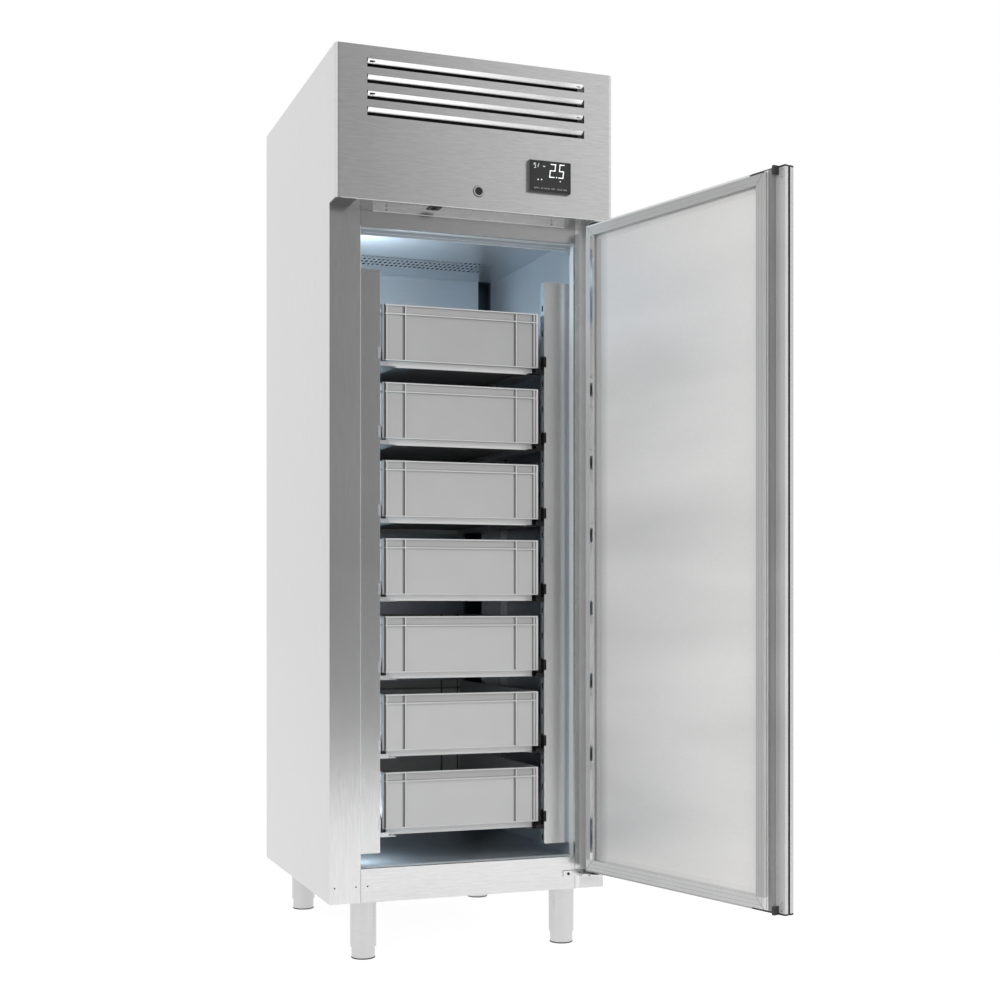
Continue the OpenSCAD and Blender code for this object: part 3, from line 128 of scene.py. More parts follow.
def remap(tree, value, low, high, in_low=0.3, in_high=0.7):
    """Low where the value is in_low or less, high where it is in_high or more."""
    node = tree.nodes.new("ShaderNodeMapRange")
    node.inputs["From Min"].default_value = in_low
    node.inputs["From Max"].default_value = in_high
    node.inputs["To Min"].default_value = low
    node.inputs["To Max"].default_value = high
    tree.links.new(value, node.inputs["Value"])
    return node.outputs["Result"]


def maths(tree, operation, *values):
    node = tree.nodes.new("ShaderNodeMath")
    node.operation = operation
    for socket, value in zip(node.inputs, values):
        feed(tree, socket, value)
    return node.outputs[0]


def mix(tree, factor, a, b, blend="MIX", clamp=False):
    """A colour between a and b, each a socket or three numbers."""
    node = tree.nodes.new("ShaderNodeMix")
    node.data_type = "RGBA"
    node.blend_type = blend
    node.clamp_result = clamp
    feed(tree, node.inputs["Factor"], factor)
    for name, value in (("A", a), ("B", b)):
        feed(tree, node.inputs[name], (*value, 1) if isinstance(value, tuple) else value)
    return node.outputs["Result"]


def bump(tree, bsdf, height, strength, distance):
    node = tree.nodes.new("ShaderNodeBump")
    node.inputs["Strength"].default_value = strength
    node.inputs["Distance"].default_value = distance
    tree.links.new(height, node.inputs["Height"])
    tree.links.new(node.outputs["Normal"], bsdf.inputs["Normal"])


def grey(level):
    return (level, level, level)


def tint(colour, factor):
    return tuple(c * factor for c in colour)


# Masks. Each is a function that adds nodes to a tree: their value is 1 for what it picks out and 0 elsewhere


def reach(output, direction, low, high):
    """0 up to low and 1 from high, measured along a direction in a texture coordinate."""
    def mask(tree):
        tex = tree.nodes.new("ShaderNodeTexCoord")
        dot = tree.nodes.new("ShaderNodeVectorMath")
        dot.operation = "DOT_PRODUCT"
        dot.inputs[1].default_value = Vector(direction).normalized()
        tree.links.new(tex.outputs[output], dot.inputs[0])
        return remap(tree, dot.outputs["Value"], 0, 1, low, high)
    return mask


def faces(direction, low=0.85, high=0.95):
    """Surfaces that face a direction."""
    return reach("Normal", direction, low, high)


def beyond(direction, low, high):
    """What lies beyond a place, in metres along a direction."""
    return reach("Object", direction, low, high)


def all_of(*masks):
    """What all these masks pick out."""
    def mask(tree):
        value = masks[0](tree)
        for other in masks[1:]:
            value = maths(tree, "MULTIPLY", value, other(tree))
        return value
    return mask


def any_of(*masks):
    """What any of these masks picks out."""
    def mask(tree):
        value = masks[0](tree)
        for other in masks[1:]:
            value = maths(tree, "MAXIMUM", value, other(tree))
        return value
    return mask


def outside(other):
    """What a mask leaves out."""
    def mask(tree):
        return maths(tree, "SUBTRACT", 1.0, other(tree))
    return mask


def up_crate(low, high):
    """What lies above a height on a crate's own wall, the same for all seven."""
    def mask(tree):
        tex = tree.nodes.new("ShaderNodeTexCoord")
        axes = tree.nodes.new("ShaderNodeSeparateXYZ")
        tree.links.new(tex.outputs["Generated"], axes.inputs[0])
        return remap(tree, axes.outputs["Z"], 0, 1, low / CRATE_HEIGHT, high / CRATE_HEIGHT)
    return mask


def beyond_on_door(direction, low, high):
    """beyond, with the shut door's direction and places, carried to the open door."""
    turned = OPEN_TURN @ direction
    shift = turned.dot(OPEN.translation)
    return beyond(turned, low + shift, high + shift)


underside = faces(DOWN)
left_facing = faces(LEFT)
# The cabinet's left half, painted darker as shade on the stiles and the pilasters
left_half = beyond(LEFT, 0.0, 0.02)
right_half = beyond(RIGHT, 0.0, 0.01)
blade_face = faces(BLADE_NORMAL, 0.9, 0.98)
# The right stile's side towards the opening, its front beyond the first bend, and its outer side, retoned as
# painted light and shade
right_reveal = all_of(left_facing, right_half)
right_front = all_of(faces(FRONT), beyond(RIGHT, 0.2820, 0.2845))
right_outer = all_of(faces(RIGHT), beyond(RIGHT, 0.300, 0.301))
# Painted reflection of the bright floor on the steel, less and less up to 0.95 m
low_part = beyond(DOWN, -0.95, -0.10)
# Painted shade in the corners between the rear cowl and the side walls
rear_corner_shade = [all_of(beyond(REAR, 0.262, 0.275), beyond(side, 0.205, 0.215)) for side in (LEFT, RIGHT)]
# Undersides near the lamp in the left wall, painted with the lamp's bluish light
lit_underside = all_of(underside, beyond(LEFT, 0.09, 0.19), beyond(FRONT, 0.02, 0.20))
# The right runner's front, painted near black as shade
right_runner_front = all_of(beyond(RIGHT, 0.16, 0.161), beyond(FRONT, 0.290, 0.291))
# The hole through the roof's foam, between the chamber and the evaporator, painted near black as shade
painted_duct_shade = all_of(beyond(RIGHT, -0.19, -0.189), beyond(LEFT, -0.19, -0.189),
                     beyond(UP, 1.745, 1.746), beyond(REAR, -0.05, -0.049))
# The gasket's bottom run, painted lighter as the light from the floor
gasket_foot = beyond(DOWN, -0.2180, -0.2165)

# The fold between the door's margin and the groove in its free edge, painted pale as light, and the edge
# beyond that groove, painted darker as shade
door_hem = all_of(faces(OPEN_TURN @ LEFT), beyond_on_door(REAR, -0.402, -0.400))
door_corner = all_of(beyond_on_door(LEFT, 0.330, 0.334), beyond_on_door(FRONT, 0.400, 0.402))
# The door's margin, painted darker as shade
door_margin = beyond_on_door(FRONT, 0.386, 0.388)
# The step between the gasket and the margin, along the free side, painted dark as shade
plug_edge = all_of(beyond_on_door(LEFT, GASKET_X, GASKET_X + 0.001), beyond_on_door(REAR, -0.3895, -0.3890))
# The dish is painted darker towards the hinges as shade, and darker still on its pressed wall
dish_border = beyond_on_door(RIGHT, 0.236, 0.266)
dish_wall = all_of(faces(OPEN_TURN @ LEFT, 0.3, 0.6), beyond_on_door(RIGHT, 0.20, 0.21))

# Crates are painted darker towards the top as shade. Their left sides carry painted shade that fades from the
# front corner, the top crate's most
high_crate_shade = beyond(UP, 0.45, 1.60)
flank = all_of(faces(LEFT, 0.6, 0.9), beyond(FRONT, 0.130, 0.250))
top_flank = all_of(flank, beyond(UP, 1.39, 1.41))
# A crate's front: the ribs, the walls between them, the gripping rim and the stacking foot. The ribs' faces
# carry a painted highlight, the foot painted light, the rim painted shade
crate_front = faces(FRONT, 0.9, 0.98)
rib_face = all_of(crate_front, beyond(FRONT, -CRATE_FACE - 0.0015, -CRATE_FACE - 0.0005))
front_panel = all_of(crate_front, beyond(REAR, CRATE_FACE + 0.0015, CRATE_FACE + 0.0025))
rim_zone = all_of(front_panel, up_crate(0.1260, 0.1265))
stacking_foot = all_of(crate_front, outside(up_crate(0.0145, 0.0150)))
# Painted shade: a dark line just above the gripping rim's rib, and the left rib's shaded half, beside its
# groove
rim_shade = all_of(rim_zone, outside(up_crate(0.1295, 0.1325)))
rib_inner = all_of(crate_front, beyond(RIGHT, 0.0020 - CRATE_X, 0.0024 - CRATE_X),
                   beyond(LEFT, 0.1925, 0.1930))
# Where each upright rib starts, and how wide the painted shade on its left is
RIBS = ((-0.1905, 0.0045), (-0.1438, 0.0070), (0.1412, 0.0060), (0.1882, 0.0040))
shades = [all_of(beyond(RIGHT, x - width, x - 0.3 * width), beyond(LEFT, -x - 0.0004, -x))
          for x, width in RIBS]
beside_ribs = all_of(front_panel, any_of(*shades))

# Materials


def retoned(tree, tone, colour, parts):
    """A colour with the parts' colours where their masks pick them out, times a tone."""
    for mask, other in parts:
        colour = mix(tree, mask(tree), colour, other)
    return mix(tree, 1.0, colour, tone, "MULTIPLY", clamp=True)


def steel(name, colour, rough=0.32, metallic=0.85, grain=(6, 6, 700), spread=0.06, smudge=0.05, parts=(),
          dull=None):
    """Brushed sheet: fine grain along one direction and broad, faint smudges.

    parts lists (mask, colour) pairs that retone what a mask picks out.
    dull is a mask for what mirrors less.
    """
    fine_share, broad_share, dull_metallic = 0.7, 0.3, 0.4
    mat, tree, bsdf = shader(name)
    fine = noise(tree, coords(tree, grain), detail=3)
    broad = noise(tree, coords(tree, (2.2, 2.2, 1.6)), detail=2)
    mottle = maths(tree, "MULTIPLY_ADD", fine, fine_share, maths(tree, "MULTIPLY", broad, broad_share))
    tone = mix(tree, remap(tree, mottle, 0, 1), grey(1 - spread), grey(1 + spread))
    feed(tree, bsdf.inputs["Base Color"], retoned(tree, tone, colour, parts))
    metal = remap(tree, dull(tree), metallic, dull_metallic, 0, 1) if dull else metallic
    feed(tree, bsdf.inputs["Metallic"], metal)
    feed(tree, bsdf.inputs["Roughness"], remap(tree, broad, rough - smudge, rough + smudge))
    bump(tree, bsdf, fine, 0.12, 0.0003)
    return mat


def plastic(name, colour, rough=0.45, grain=900, strength=0.08, spread=0.04, parts=()):
    """Moulded plastic or rubber with a fine eroded surface, parts as for steel."""
    mat, tree, bsdf = shader(name)
    fine = noise(tree, coords(tree, (grain, grain, grain)), detail=2)
    broad = noise(tree, coords(tree, (7, 7, 7)), detail=3)
    tone = mix(tree, remap(tree, broad, 0, 1), grey(1 - spread), grey(1 + spread))
    feed(tree, bsdf.inputs["Base Color"], retoned(tree, tone, colour, parts))
    feed(tree, bsdf.inputs["Roughness"], remap(tree, broad, rough - 0.05, rough + 0.05))
    bump(tree, bsdf, fine, strength, 0.0002)
    return mat


def embossed(name, colour, parts):
    """Pale sheet with a fine pressed grain and broad, slanting, soft streaks, parts as for steel."""
    mat, tree, bsdf = shader(name)
    cells = tree.nodes.new("ShaderNodeTexVoronoi")
    cells.feature = "SMOOTH_F1"
    cells.inputs["Scale"].default_value = 260
    tree.links.new(coords(tree, (1, 1, 1)), cells.inputs["Vector"])
    fine = noise(tree, coords(tree, (240, 240, 240)), detail=2)
    streaks = noise(tree, coords(tree, (1.2, 1.2, 5.5), turn=(0, 0.62, 0.3)), detail=2, rough=0.45)
    broad_tone = mix(tree, remap(tree, streaks, 0, 1), grey(0.93), grey(1.07))
    fine_tone = mix(tree, remap(tree, fine, 0, 1), grey(0.975), grey(1.025))
    tone = mix(tree, 1.0, broad_tone, fine_tone, "MULTIPLY")
    feed(tree, bsdf.inputs["Base Color"], retoned(tree, tone, colour, parts))
    feed(tree, bsdf.inputs["Metallic"], 0.3)
    feed(tree, bsdf.inputs["Roughness"], remap(tree, streaks, 0.37, 0.47))
    bump(tree, bsdf, cells.outputs["Distance"], 0.25, 0.0004)
    return mat


def mesh_cloth(name, dark, light):
    """Dark filter mat: a fine open weave."""
    mat, tree, bsdf = shader(name)
    weave = tree.nodes.new("ShaderNodeTexVoronoi")
    weave.inputs["Scale"].default_value = 420
    tree.links.new(coords(tree, (1, 1, 1)), weave.inputs["Vector"])
    strand = weave.outputs["Distance"]
    feed(tree, bsdf.inputs["Base Color"], mix(tree, remap(tree, strand, 0, 1, 0, 0.8), dark, light))
    feed(tree, bsdf.inputs["Roughness"], 0.9)
    bump(tree, bsdf, strand, 0.4, 0.001)
    return mat


def glow(name, colour, strength):
    """A lit cover or mark, faintly uneven."""
    mat, tree, bsdf = shader(name)
    flicker = noise(tree, coords(tree, (90, 90, 90)))
    base = mix(tree, remap(tree, flicker, 0, 1), tint(colour, 0.95), colour)
    feed(tree, bsdf.inputs["Base Color"], base)
    feed(tree, bsdf.inputs["Emission Color"], base)
    feed(tree, bsdf.inputs["Emission Strength"], strength)
    return mat


# Grain of brushed sheet: across the front, and upright
ACROSS, UPRIGHT = (34, 34, 420), (260, 260, 22)

MATS = {
    # The front's steel carries painted light and shade: sides facing left darker as shade, undersides lighter
    # and the blades' slanting faces pale as painted light
    "front": steel("steel_front", grey(0.70), rough=0.20, smudge=0.03, grain=ACROSS, spread=0.08, parts=[
        (left_facing, grey(0.62)), (underside, grey(0.74)), (blade_face, grey(1.0))]),
    # The lintel's steel is a darker copy of the front's, as painted shade under the cover
    "lintel": steel("steel_lintel", grey(0.45), rough=0.20, smudge=0.03, grain=(22, 22, 260)),
    # The door's skin, with painted light on the fold of its free edge and painted shade on the edge beyond it
    "skin": steel("steel_door", grey(0.70), rough=0.20, smudge=0.03, grain=ACROSS, spread=0.08, parts=[
        (door_hem, grey(1.0)), (door_corner, grey(0.55))]),
    # The stiles carry painted light and shade: the left stile and the sides facing left darker, a painted
    # floor reflection low down, the right stile's reveal and outer side darker, and its front beyond the bend
    # retoned and mirroring less
    "stile": steel("steel_stile", grey(0.88), rough=0.20, smudge=0.03, grain=UPRIGHT, dull=right_front,
                   parts=[(left_half, grey(0.50)), (low_part, grey(0.74)), (left_facing, grey(0.62)),
                          (right_reveal, grey(0.50)), (right_front, grey(0.80)), (right_outer, grey(0.50))]),
    "galvanised": steel("galvanised", (0.50, 0.52, 0.54), rough=0.5, metallic=0.6, grain=(30, 30, 30),
                        spread=0.12),
    # The chamber's steel, with painted shade in the rear corners
    "chamber": steel("steel_chamber", (0.66, 0.72, 0.78), rough=0.28, metallic=0.6, smudge=0.0,
                     grain=(10, 220, 220), spread=0.03,
                     parts=[(gap, (0.10, 0.13, 0.17)) for gap in rear_corner_shade]),
    # The pilasters carry painted light and shade: the left ones darker, a painted floor reflection low down,
    # and their right reveals pale bluish as painted lamp light
    "rack": steel("steel_rack", grey(0.66), rough=0.22, grain=UPRIGHT, parts=[
        (left_half, grey(0.44)), (low_part, grey(0.76)), (right_reveal, (0.90, 0.97, 1.0))]),
    # The runners, with painted shade on the right one's front and painted lamp light on undersides near the
    # left wall, where they mirror less
    "runner": steel("steel_runner", (0.66, 0.67, 0.69), rough=0.3, grain=(300, 6, 300), dull=lit_underside,
                    parts=[(right_runner_front, grey(0.03)), (lit_underside, (0.80, 0.95, 1.0))]),
    # The door's liner, with painted shade on the margin, the step by the gasket, the dish towards the hinges
    # and its pressed wall
    "door_inner": embossed("door_inner", (0.90, 0.89, 0.88), parts=[
        (dish_border, grey(0.66)), (dish_wall, grey(0.34)), (door_margin, grey(0.60)),
        (plug_edge, grey(0.30))]),
    "frame": plastic("breaker_plastic", (0.74, 0.78, 0.80), rough=0.35),
    # Gasket rubber, its bottom run painted lighter as light from the floor
    "gasket": plastic("gasket_rubber", (0.565, 0.57, 0.565), rough=0.5, parts=[(gasket_foot, grey(0.82))]),
    "dark": plastic("dark_plastic", (0.03, 0.03, 0.032)),
    "plug": plastic("plug_plastic", (0.11, 0.11, 0.112), rough=0.4),
    "black": plastic("black_plastic", (0.012, 0.012, 0.013), rough=0.5),
    # Foam, painted near black as shade in the hole through the roof
    "foam": plastic("foam", (0.70, 0.58, 0.32), rough=0.9, grain=500, strength=0.5, parts=[
        (painted_duct_shade, grey(0.03))]),
    # The crates' parts paint light and shade: darker high up, on the left sides, on the rim, beside the ribs
    # and underneath; lighter on the rib faces and the foot, and bluish on the undersides near the lamp
    "crate": plastic("crate_plastic", grey(0.66), rough=0.5, grain=500, strength=0.12, spread=0.02, parts=[
        (high_crate_shade, grey(0.50)), (flank, grey(0.42)), (top_flank, grey(0.22)), (rim_zone, grey(0.50)),
        (rim_shade, grey(0.26)), (beside_ribs, grey(0.13)), (rib_face, grey(0.74)), (rib_inner, grey(0.13)),
        (stacking_foot, grey(0.80)), (underside, grey(0.30)), (lit_underside, (0.66, 0.84, 0.92))]),
    "filter": mesh_cloth("filter_mat", (0.004, 0.004, 0.005), (0.02, 0.02, 0.022)),
    "display": plastic("display_glass", (0.028, 0.028, 0.029), rough=0.15, grain=60, strength=0.0),
    # The housing's sides facing left are painted lighter as light
    "housing": plastic("display_housing", grey(0.02), rough=0.4, parts=[(left_facing, grey(0.13))]),
    "digits": glow("digits", (0.9, 0.93, 0.95), 0.75),
    "mark": glow("marks", (0.8, 0.82, 0.84), 0.35),
    "dim": glow("dim_marks", (0.42, 0.42, 0.43), 0.05),
    "chrome": steel("lock_metal", grey(0.72), rough=0.16, metallic=1.0, grain=(40, 40, 40), spread=0.03),
    # The bolt's underside is painted near black as shade
    "bolt": steel("lock_bolt_steel", grey(0.72), rough=0.16, metallic=1.0, grain=(40, 40, 40), spread=0.03,
                  parts=[(underside, grey(0.02))]),
    "coil": steel("coil_fins", (0.60, 0.61, 0.63), rough=0.4, metallic=0.8, grain=(900, 20, 20), spread=0.1),
    "enamel": plastic("black_enamel", grey(0.01), rough=0.28, grain=120, strength=0.05),
    "copper": steel("copper", (0.62, 0.30, 0.18), rough=0.3, metallic=1.0, grain=(60, 60, 60), spread=0.12),
    "leg": steel("steel_leg", grey(0.64), rough=0.25, grain=(40, 40, 900), spread=0.05),
    "screw": steel("screw_steel", grey(0.50), rough=0.25, metallic=1.0, grain=(300, 300, 300)),
    "profile": steel("lamp_metal", (0.62, 0.63, 0.65), rough=0.35, metallic=0.9, grain=(300, 300, 10)),
    "lamp": glow("lamp_cover", (0.72, 0.88, 1.0), 2.5),
    # Pale strips for painted highlights along edges, on the mouth's trim and on the gasket's top
    "edge": steel("edge_light", grey(0.95), rough=0.3, metallic=0.2, grain=(60, 60, 60), spread=0.03),
    # Mirror steel for the strip on the gasket that is a painted reflection
    "polished": steel("polished_steel", grey(0.86), rough=0.10, metallic=1.0, grain=UPRIGHT, spread=0.03,
                      smudge=0.0),
    "trim": plastic("mouth_trim", (0.40, 0.45, 0.50), rough=0.4),
    "hole": plastic("hole_dark", grey(0.01), rough=0.9),
    # Dark joints, and also dark sheets laid as painted shade round the lock and by the lower hinge's plate
    "seam": plastic("seam_dark", (0.05, 0.05, 0.052), rough=0.8),
    # Soft grey for the lines of painted shade in the gasket's creases
    "seam_soft": plastic("seam_soft", grey(0.40), rough=0.6),
    "wire": steel("guard_wire", (0.45, 0.45, 0.46), rough=0.3, metallic=0.9, grain=(90, 90, 90)),
    "tape": steel("foil_tape", (0.75, 0.76, 0.78), rough=0.3, metallic=0.9, grain=(25, 25, 25), spread=0.1),
}

FEET = ("front_left", "front_right", "rear_left", "rear_right")
# The nodes that each material covers
COVERS = {
    "stile": ["side_panel_left", "side_panel_right"],
    "front": ["base_panel", "fascia", "upper_hinge_plate", "lower_hinge_bracket"],
    "lintel": ["roof_panel"],
    "galvanised": ["back_panel", "evaporator_box", "evaporator_fan_mount"],
    "foam": ["insulation", "door_core"],
    "chamber": ["inner_liner", "ceiling_panel", "rear_cowl"],
    "frame": ["breaker_frame"],
    "profile": ["lamp_profile"],
    "lamp": ["lamp_diffuser"],
    "filter": ["dust_filter"],
    "housing": ["controller_housing"],
    "display": ["controller_glass"],
    "chrome": ["lock_housing"],
    "bolt": ["lock_bolt"],
    "plug": ["corner_plug"],
    "black": ["lock_barrel", "switch_button", "evaporator_fan", "condenser_fan", "door_striker"],
    "dark": ["switch_housing", "condenser_fan_mount", "electrical_box", "door_grip", "door_cap_top",
             "door_cap_bottom", "door_bushes"],
    "rack": ["front_pilasters", "rear_pilasters"],
    "runner": ["runners_left", "runners_right"],
    "coil": ["evaporator_coil", "condenser"],
    "enamel": ["compressor"],
    "copper": ["pipework"],
    "leg": ["leg_sleeves"] + ["foot_" + corner for corner in FEET],
    "skin": ["door_skin"],
    "door_inner": ["door_liner"],
    "gasket": ["door_gasket"],
    "crate": [name for name in nodes if name.startswith("crate_")],
}
for finish, covered in COVERS.items():
    for name in covered:
        ob = nodes[name]
        if not ob.material_slots:
            ob.data.materials.append(MATS[finish])
        for slot in ob.material_slots:
            slot.material = MATS[finish]

# Building blocks of the small parts


def piece(name, bm, mat, body, smooth=False):
    """Turns a bmesh into an object that rides on a body."""
    mesh = bpy.data.meshes.new(name)
    bmesh.ops.recalc_face_normals(bm, faces=bm.faces)
    bm.to_mesh(mesh)
    bm.free()
    ob = bpy.data.objects.new(name, mesh)
    scene.collection.objects.link(ob)
    mesh.materials.append(MATS[mat])
    if smooth:
        mesh.polygons.foreach_set("use_smooth", [True] * len(mesh.polygons))
    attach(ob, body)


def add_box(bm, low, high, place=Matrix()):
    centre = Vector([(a + b) / 2 for a, b in zip(low, high)])
    size = [b - a for a, b in zip(low, high)]
    matrix = place @ Matrix.Translation(centre) @ Matrix.Diagonal((*size, 1))
    bmesh.ops.create_cube(bm, size=1, matrix=matrix)


def add_face(bm, corners):
    bm.faces.new([bm.verts.new(corner) for corner in corners])


def facing(place, normal):
    """A matrix at place whose Z axis is the normal."""
    turn = Vector(normal).to_track_quat("Z", "Y").to_matrix().to_4x4()
    return Matrix.Translation(Vector(place)) @ turn


def circle(radius, steps):
    """The points of a circle round the origin, as (x, y)."""
    angles = [2 * math.pi * i / steps for i in range(steps)]
    return [(radius * math.cos(a), radius * math.sin(a)) for a in angles]


def hexagon(radius, steps):
    """A hexagon's outline with as many points as the circle it joins."""
    part = math.pi / 3
    out = []
    for i in range(steps):
        angle = 2 * math.pi * i / steps
        far = radius * math.cos(part / 2) / math.cos((angle % part) - part / 2)
        out.append((far * math.cos(angle), far * math.sin(angle)))
    return out


def add_skin(bm, loops):
    """Faces between each loop of vertices and the next."""
    for lower, upper in zip(loops, loops[1:]):
        for i in range(len(lower)):
            k = (i + 1) % len(lower)
            bm.faces.new((lower[i], lower[k], upper[k], upper[i]))


def add_rings(bm, matrix, rings, close_top=True, steps=24):
    """A turned form. Each ring is (radius, height), or (radius, height, hexagon) where it isn't round."""
    loops = []
    for radius, height, *other in rings:
        points = (other[0] if other else circle)(radius, steps)
        loops.append([bm.verts.new(matrix @ Vector((x, y, height))) for x, y in points])
    add_skin(bm, loops)
    bm.faces.new(list(reversed(loops[0])))
    if close_top:
        bm.faces.new(loops[-1])


def add_screw(bm, place, normal, radius):
    """Button-head screw with a hexagon socket."""
    head = radius * 0.55
    add_rings(bm, facing(place, normal), [
        (radius, 0), (radius, head * 0.25), (radius * 0.93, head * 0.6), (radius * 0.72, head * 0.92),
        (radius * 0.55, head), (radius * 0.46, head, hexagon), (radius * 0.46, head * 0.35, hexagon)])


def add_tube(bm, points, radius, sides):
    """A round tube along points, closed at both ends."""
    points = [Vector(p) for p in points]
    loops = []
    for k, point in enumerate(points):
        ahead = points[min(k + 1, len(points) - 1)] - points[max(k - 1, 0)]
        turn = ahead.normalized().to_track_quat("Z", "Y").to_matrix()
        loops.append([bm.verts.new(point + turn @ Vector((x, y, 0))) for x, y in circle(radius, sides)])
    add_skin(bm, loops)
    bm.faces.new(list(reversed(loops[0])))
    bm.faces.new(loops[-1])


def bent(points, radius, steps=6):
    """Rounds the corners of a list of points."""
    points = [Vector(p) for p in points]
    out = [points[0]]
    for before, corner, after in zip(points, points[1:], points[2:]):
        a = corner + (before - corner).normalized() * radius
        b = corner + (after - corner).normalized() * radius
        for i in range(steps + 1):
            t = i / steps
            out.append((1 - t) ** 2 * a + 2 * t * (1 - t) * corner + t * t * b)
    out.append(points[-1])
    return out


def tube(name, points, radius, mat, sides=12):
    bm = bmesh.new()
    add_tube(bm, points, radius, sides)
    piece(name, bm, mat, "cabinet", smooth=True)


def boxes(name, limits, mat, body="cabinet", place=Matrix()):
    """One object of several boxes, each given by two corners."""
    bm = bmesh.new()
    for low, high in limits:
        add_box(bm, low, high, place)
    piece(name, bm, mat, body)


def screws(name, places, normal, radius, mat="screw"):
    bm = bmesh.new()
    for place in places:
        add_screw(bm, place, normal, radius)
    piece(name, bm, mat, "cabinet")


def holes(name, places, normal, radius):
    """Flat dark discs that read as drilled holes in the cabinet."""
    proud = 0.00015
    bm = bmesh.new()
    for place in places:
        matrix = facing(place, normal)
        add_face(bm, [matrix @ Vector((x, y, proud)) for x, y in circle(radius, 24)])
    piece(name, bm, "hole", "cabinet")


# Small parts, placed in metres. On the display it is millimetres from the glass's lower left corner

SEGMENTS = {"2": "abged", "5": "afgcd"}
# Left, foot, width and height of each digit
DIGITS = {"2": (47.0, 32.0, 14.0, 32.8), "5": (70.4, 32.0, 12.8, 33.4)}
# Middle and radius of each dot
DOTS = ((65.9, 33.4, 1.5), (18.6, 24.7, 1.5), (27.5, 25.3, 1.5), (75.6, 24.6, 1.3))
# Left, foot, width and height of the strokes of the plain marks
STROKES = ((8.5, 62.5, 4.5, 1.4), (7.8, 58.2, 1.4, 5.2), (11.2, 54.6, 1.4, 5.8), (8.2, 52.0, 5.0, 1.2),
           (17.7, 54.2, 1.3, 5.0), (19.6, 59.2, 1.3, 4.4), (31.0, 57.0, 2.8, 1.3), (33.0, 55.8, 2.2, 1.3),
           (34.6, 57.0, 2.8, 1.3))
# Where the ticks of the row along the foot start
TICKS = (9.4, 12.4, 15.4, 19.4, 26.8, 30.0, 35.6, 38.8, 43.4, 46.4, 53.4, 56.6, 59.4, 68.0, 71.0, 74.2, 78.6,
         84.0, 87.0, 90.2)
# A millimetre, and half the thickness of what lies on the glass, in metres
MM = 0.001
INK = 0.0002


def add_digit(bm, digit, width, height, place):
    """A seven-segment digit, leaning slightly to the right."""
    stroke, lean = 0.0020, 0.12
    gap = stroke * 0.12
    half = height / 2
    bars = {
        "a": ((gap, height - stroke), (width - gap, height)),
        "b": ((width - stroke, half + gap), (width, height - gap)),
        "c": ((width - stroke, gap), (width, half - gap)),
        "d": ((gap, 0), (width - gap, stroke)),
        "e": ((0, gap), (stroke, half - gap)),
        "f": ((0, half + gap), (stroke, height - gap)),
        "g": ((gap, half - stroke / 2), (width - gap, half + stroke / 2)),
    }
    sheared = Matrix.Translation(place) @ Matrix(((1, 0, lean, 0), (0, 1, 0, 0), (0, 0, 1, 0), (0, 0, 0, 1)))
    for name in SEGMENTS[digit]:
        (u0, v0), (u1, v1) = bars[name]
        add_box(bm, (u0, -INK, v0), (u1, INK, v1), sheared)


def build_display():
    """Digits, plain dots and strokes on the controller's glass."""
    glass_x, glass_y, glass_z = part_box("controller_glass")[0]
    housing_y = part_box("controller_housing")[0][1]
    proud = 0.0001

    def on_glass(x, z, depth=0.0):
        return Vector((glass_x + MM * x, glass_y - proud + depth, glass_z + MM * z))

    def mark(x, z, width, height):
        return on_glass(x, z, -INK), on_glass(x + width, z + height, INK)

    bm = bmesh.new()
    for digit, (x, z, width, height) in DIGITS.items():
        add_digit(bm, digit, MM * width, MM * height, on_glass(x, z))
    for x, z, radius in DOTS:
        dot = [(MM * radius, 0), (MM * radius, 2 * INK)]
        add_rings(bm, facing(on_glass(x, z, INK), FRONT), dot, steps=16)
    piece("display_digits", bm, "digits", "cabinet")
    boxes("display_marks", [mark(*stroke) for stroke in STROKES], "mark")
    foot, wide, tall, step = 3.2, 1.1, 4.0, 1.2
    ticks = []
    for k, x in enumerate(TICKS):
        ticks.append(mark(x, foot, wide, tall - step * (k % 2)))
        ticks.append(mark(x + wide, foot + step * (k % 3), wide, 1.0))
    boxes("display_row", ticks, "dim")
    low, high = on_glass(99.2, 1.0), on_glass(102.6, 70.5)
    low.y, high.y = housing_y - 0.00045, housing_y - proud
    boxes("display_edge", [(low, high)], "hole")


def add_blade_patches(bm, numbers, left, right, top, bottom):
    """Flat patches just over the blades' slanting faces. top and bottom are (y, z) on the uppermost blade."""
    lift = BLADE_NORMAL * 0.0002
    for number in numbers:
        drop = Vector((0, 0, -BLADE_STEP * number))
        corners = [(left, *top), (right, *top), (right, *bottom), (left, *bottom)]
        add_face(bm, [Vector(corner) + drop + lift for corner in corners])


def build_blade_marks():
    """A dark line where each blade ends, and a dash on two of them."""
    bm = bmesh.new()
    add_blade_patches(bm, range(BLADE_COUNT), -0.2722, -0.2690, (-0.4217, 2.0978), (-0.4122, 2.0867))
    add_blade_patches(bm, (0, 2), -0.2642, -0.2518, (-0.41848, 2.0940), (-0.41612, 2.0912))
    piece("blade_marks", bm, "hole", "cabinet")


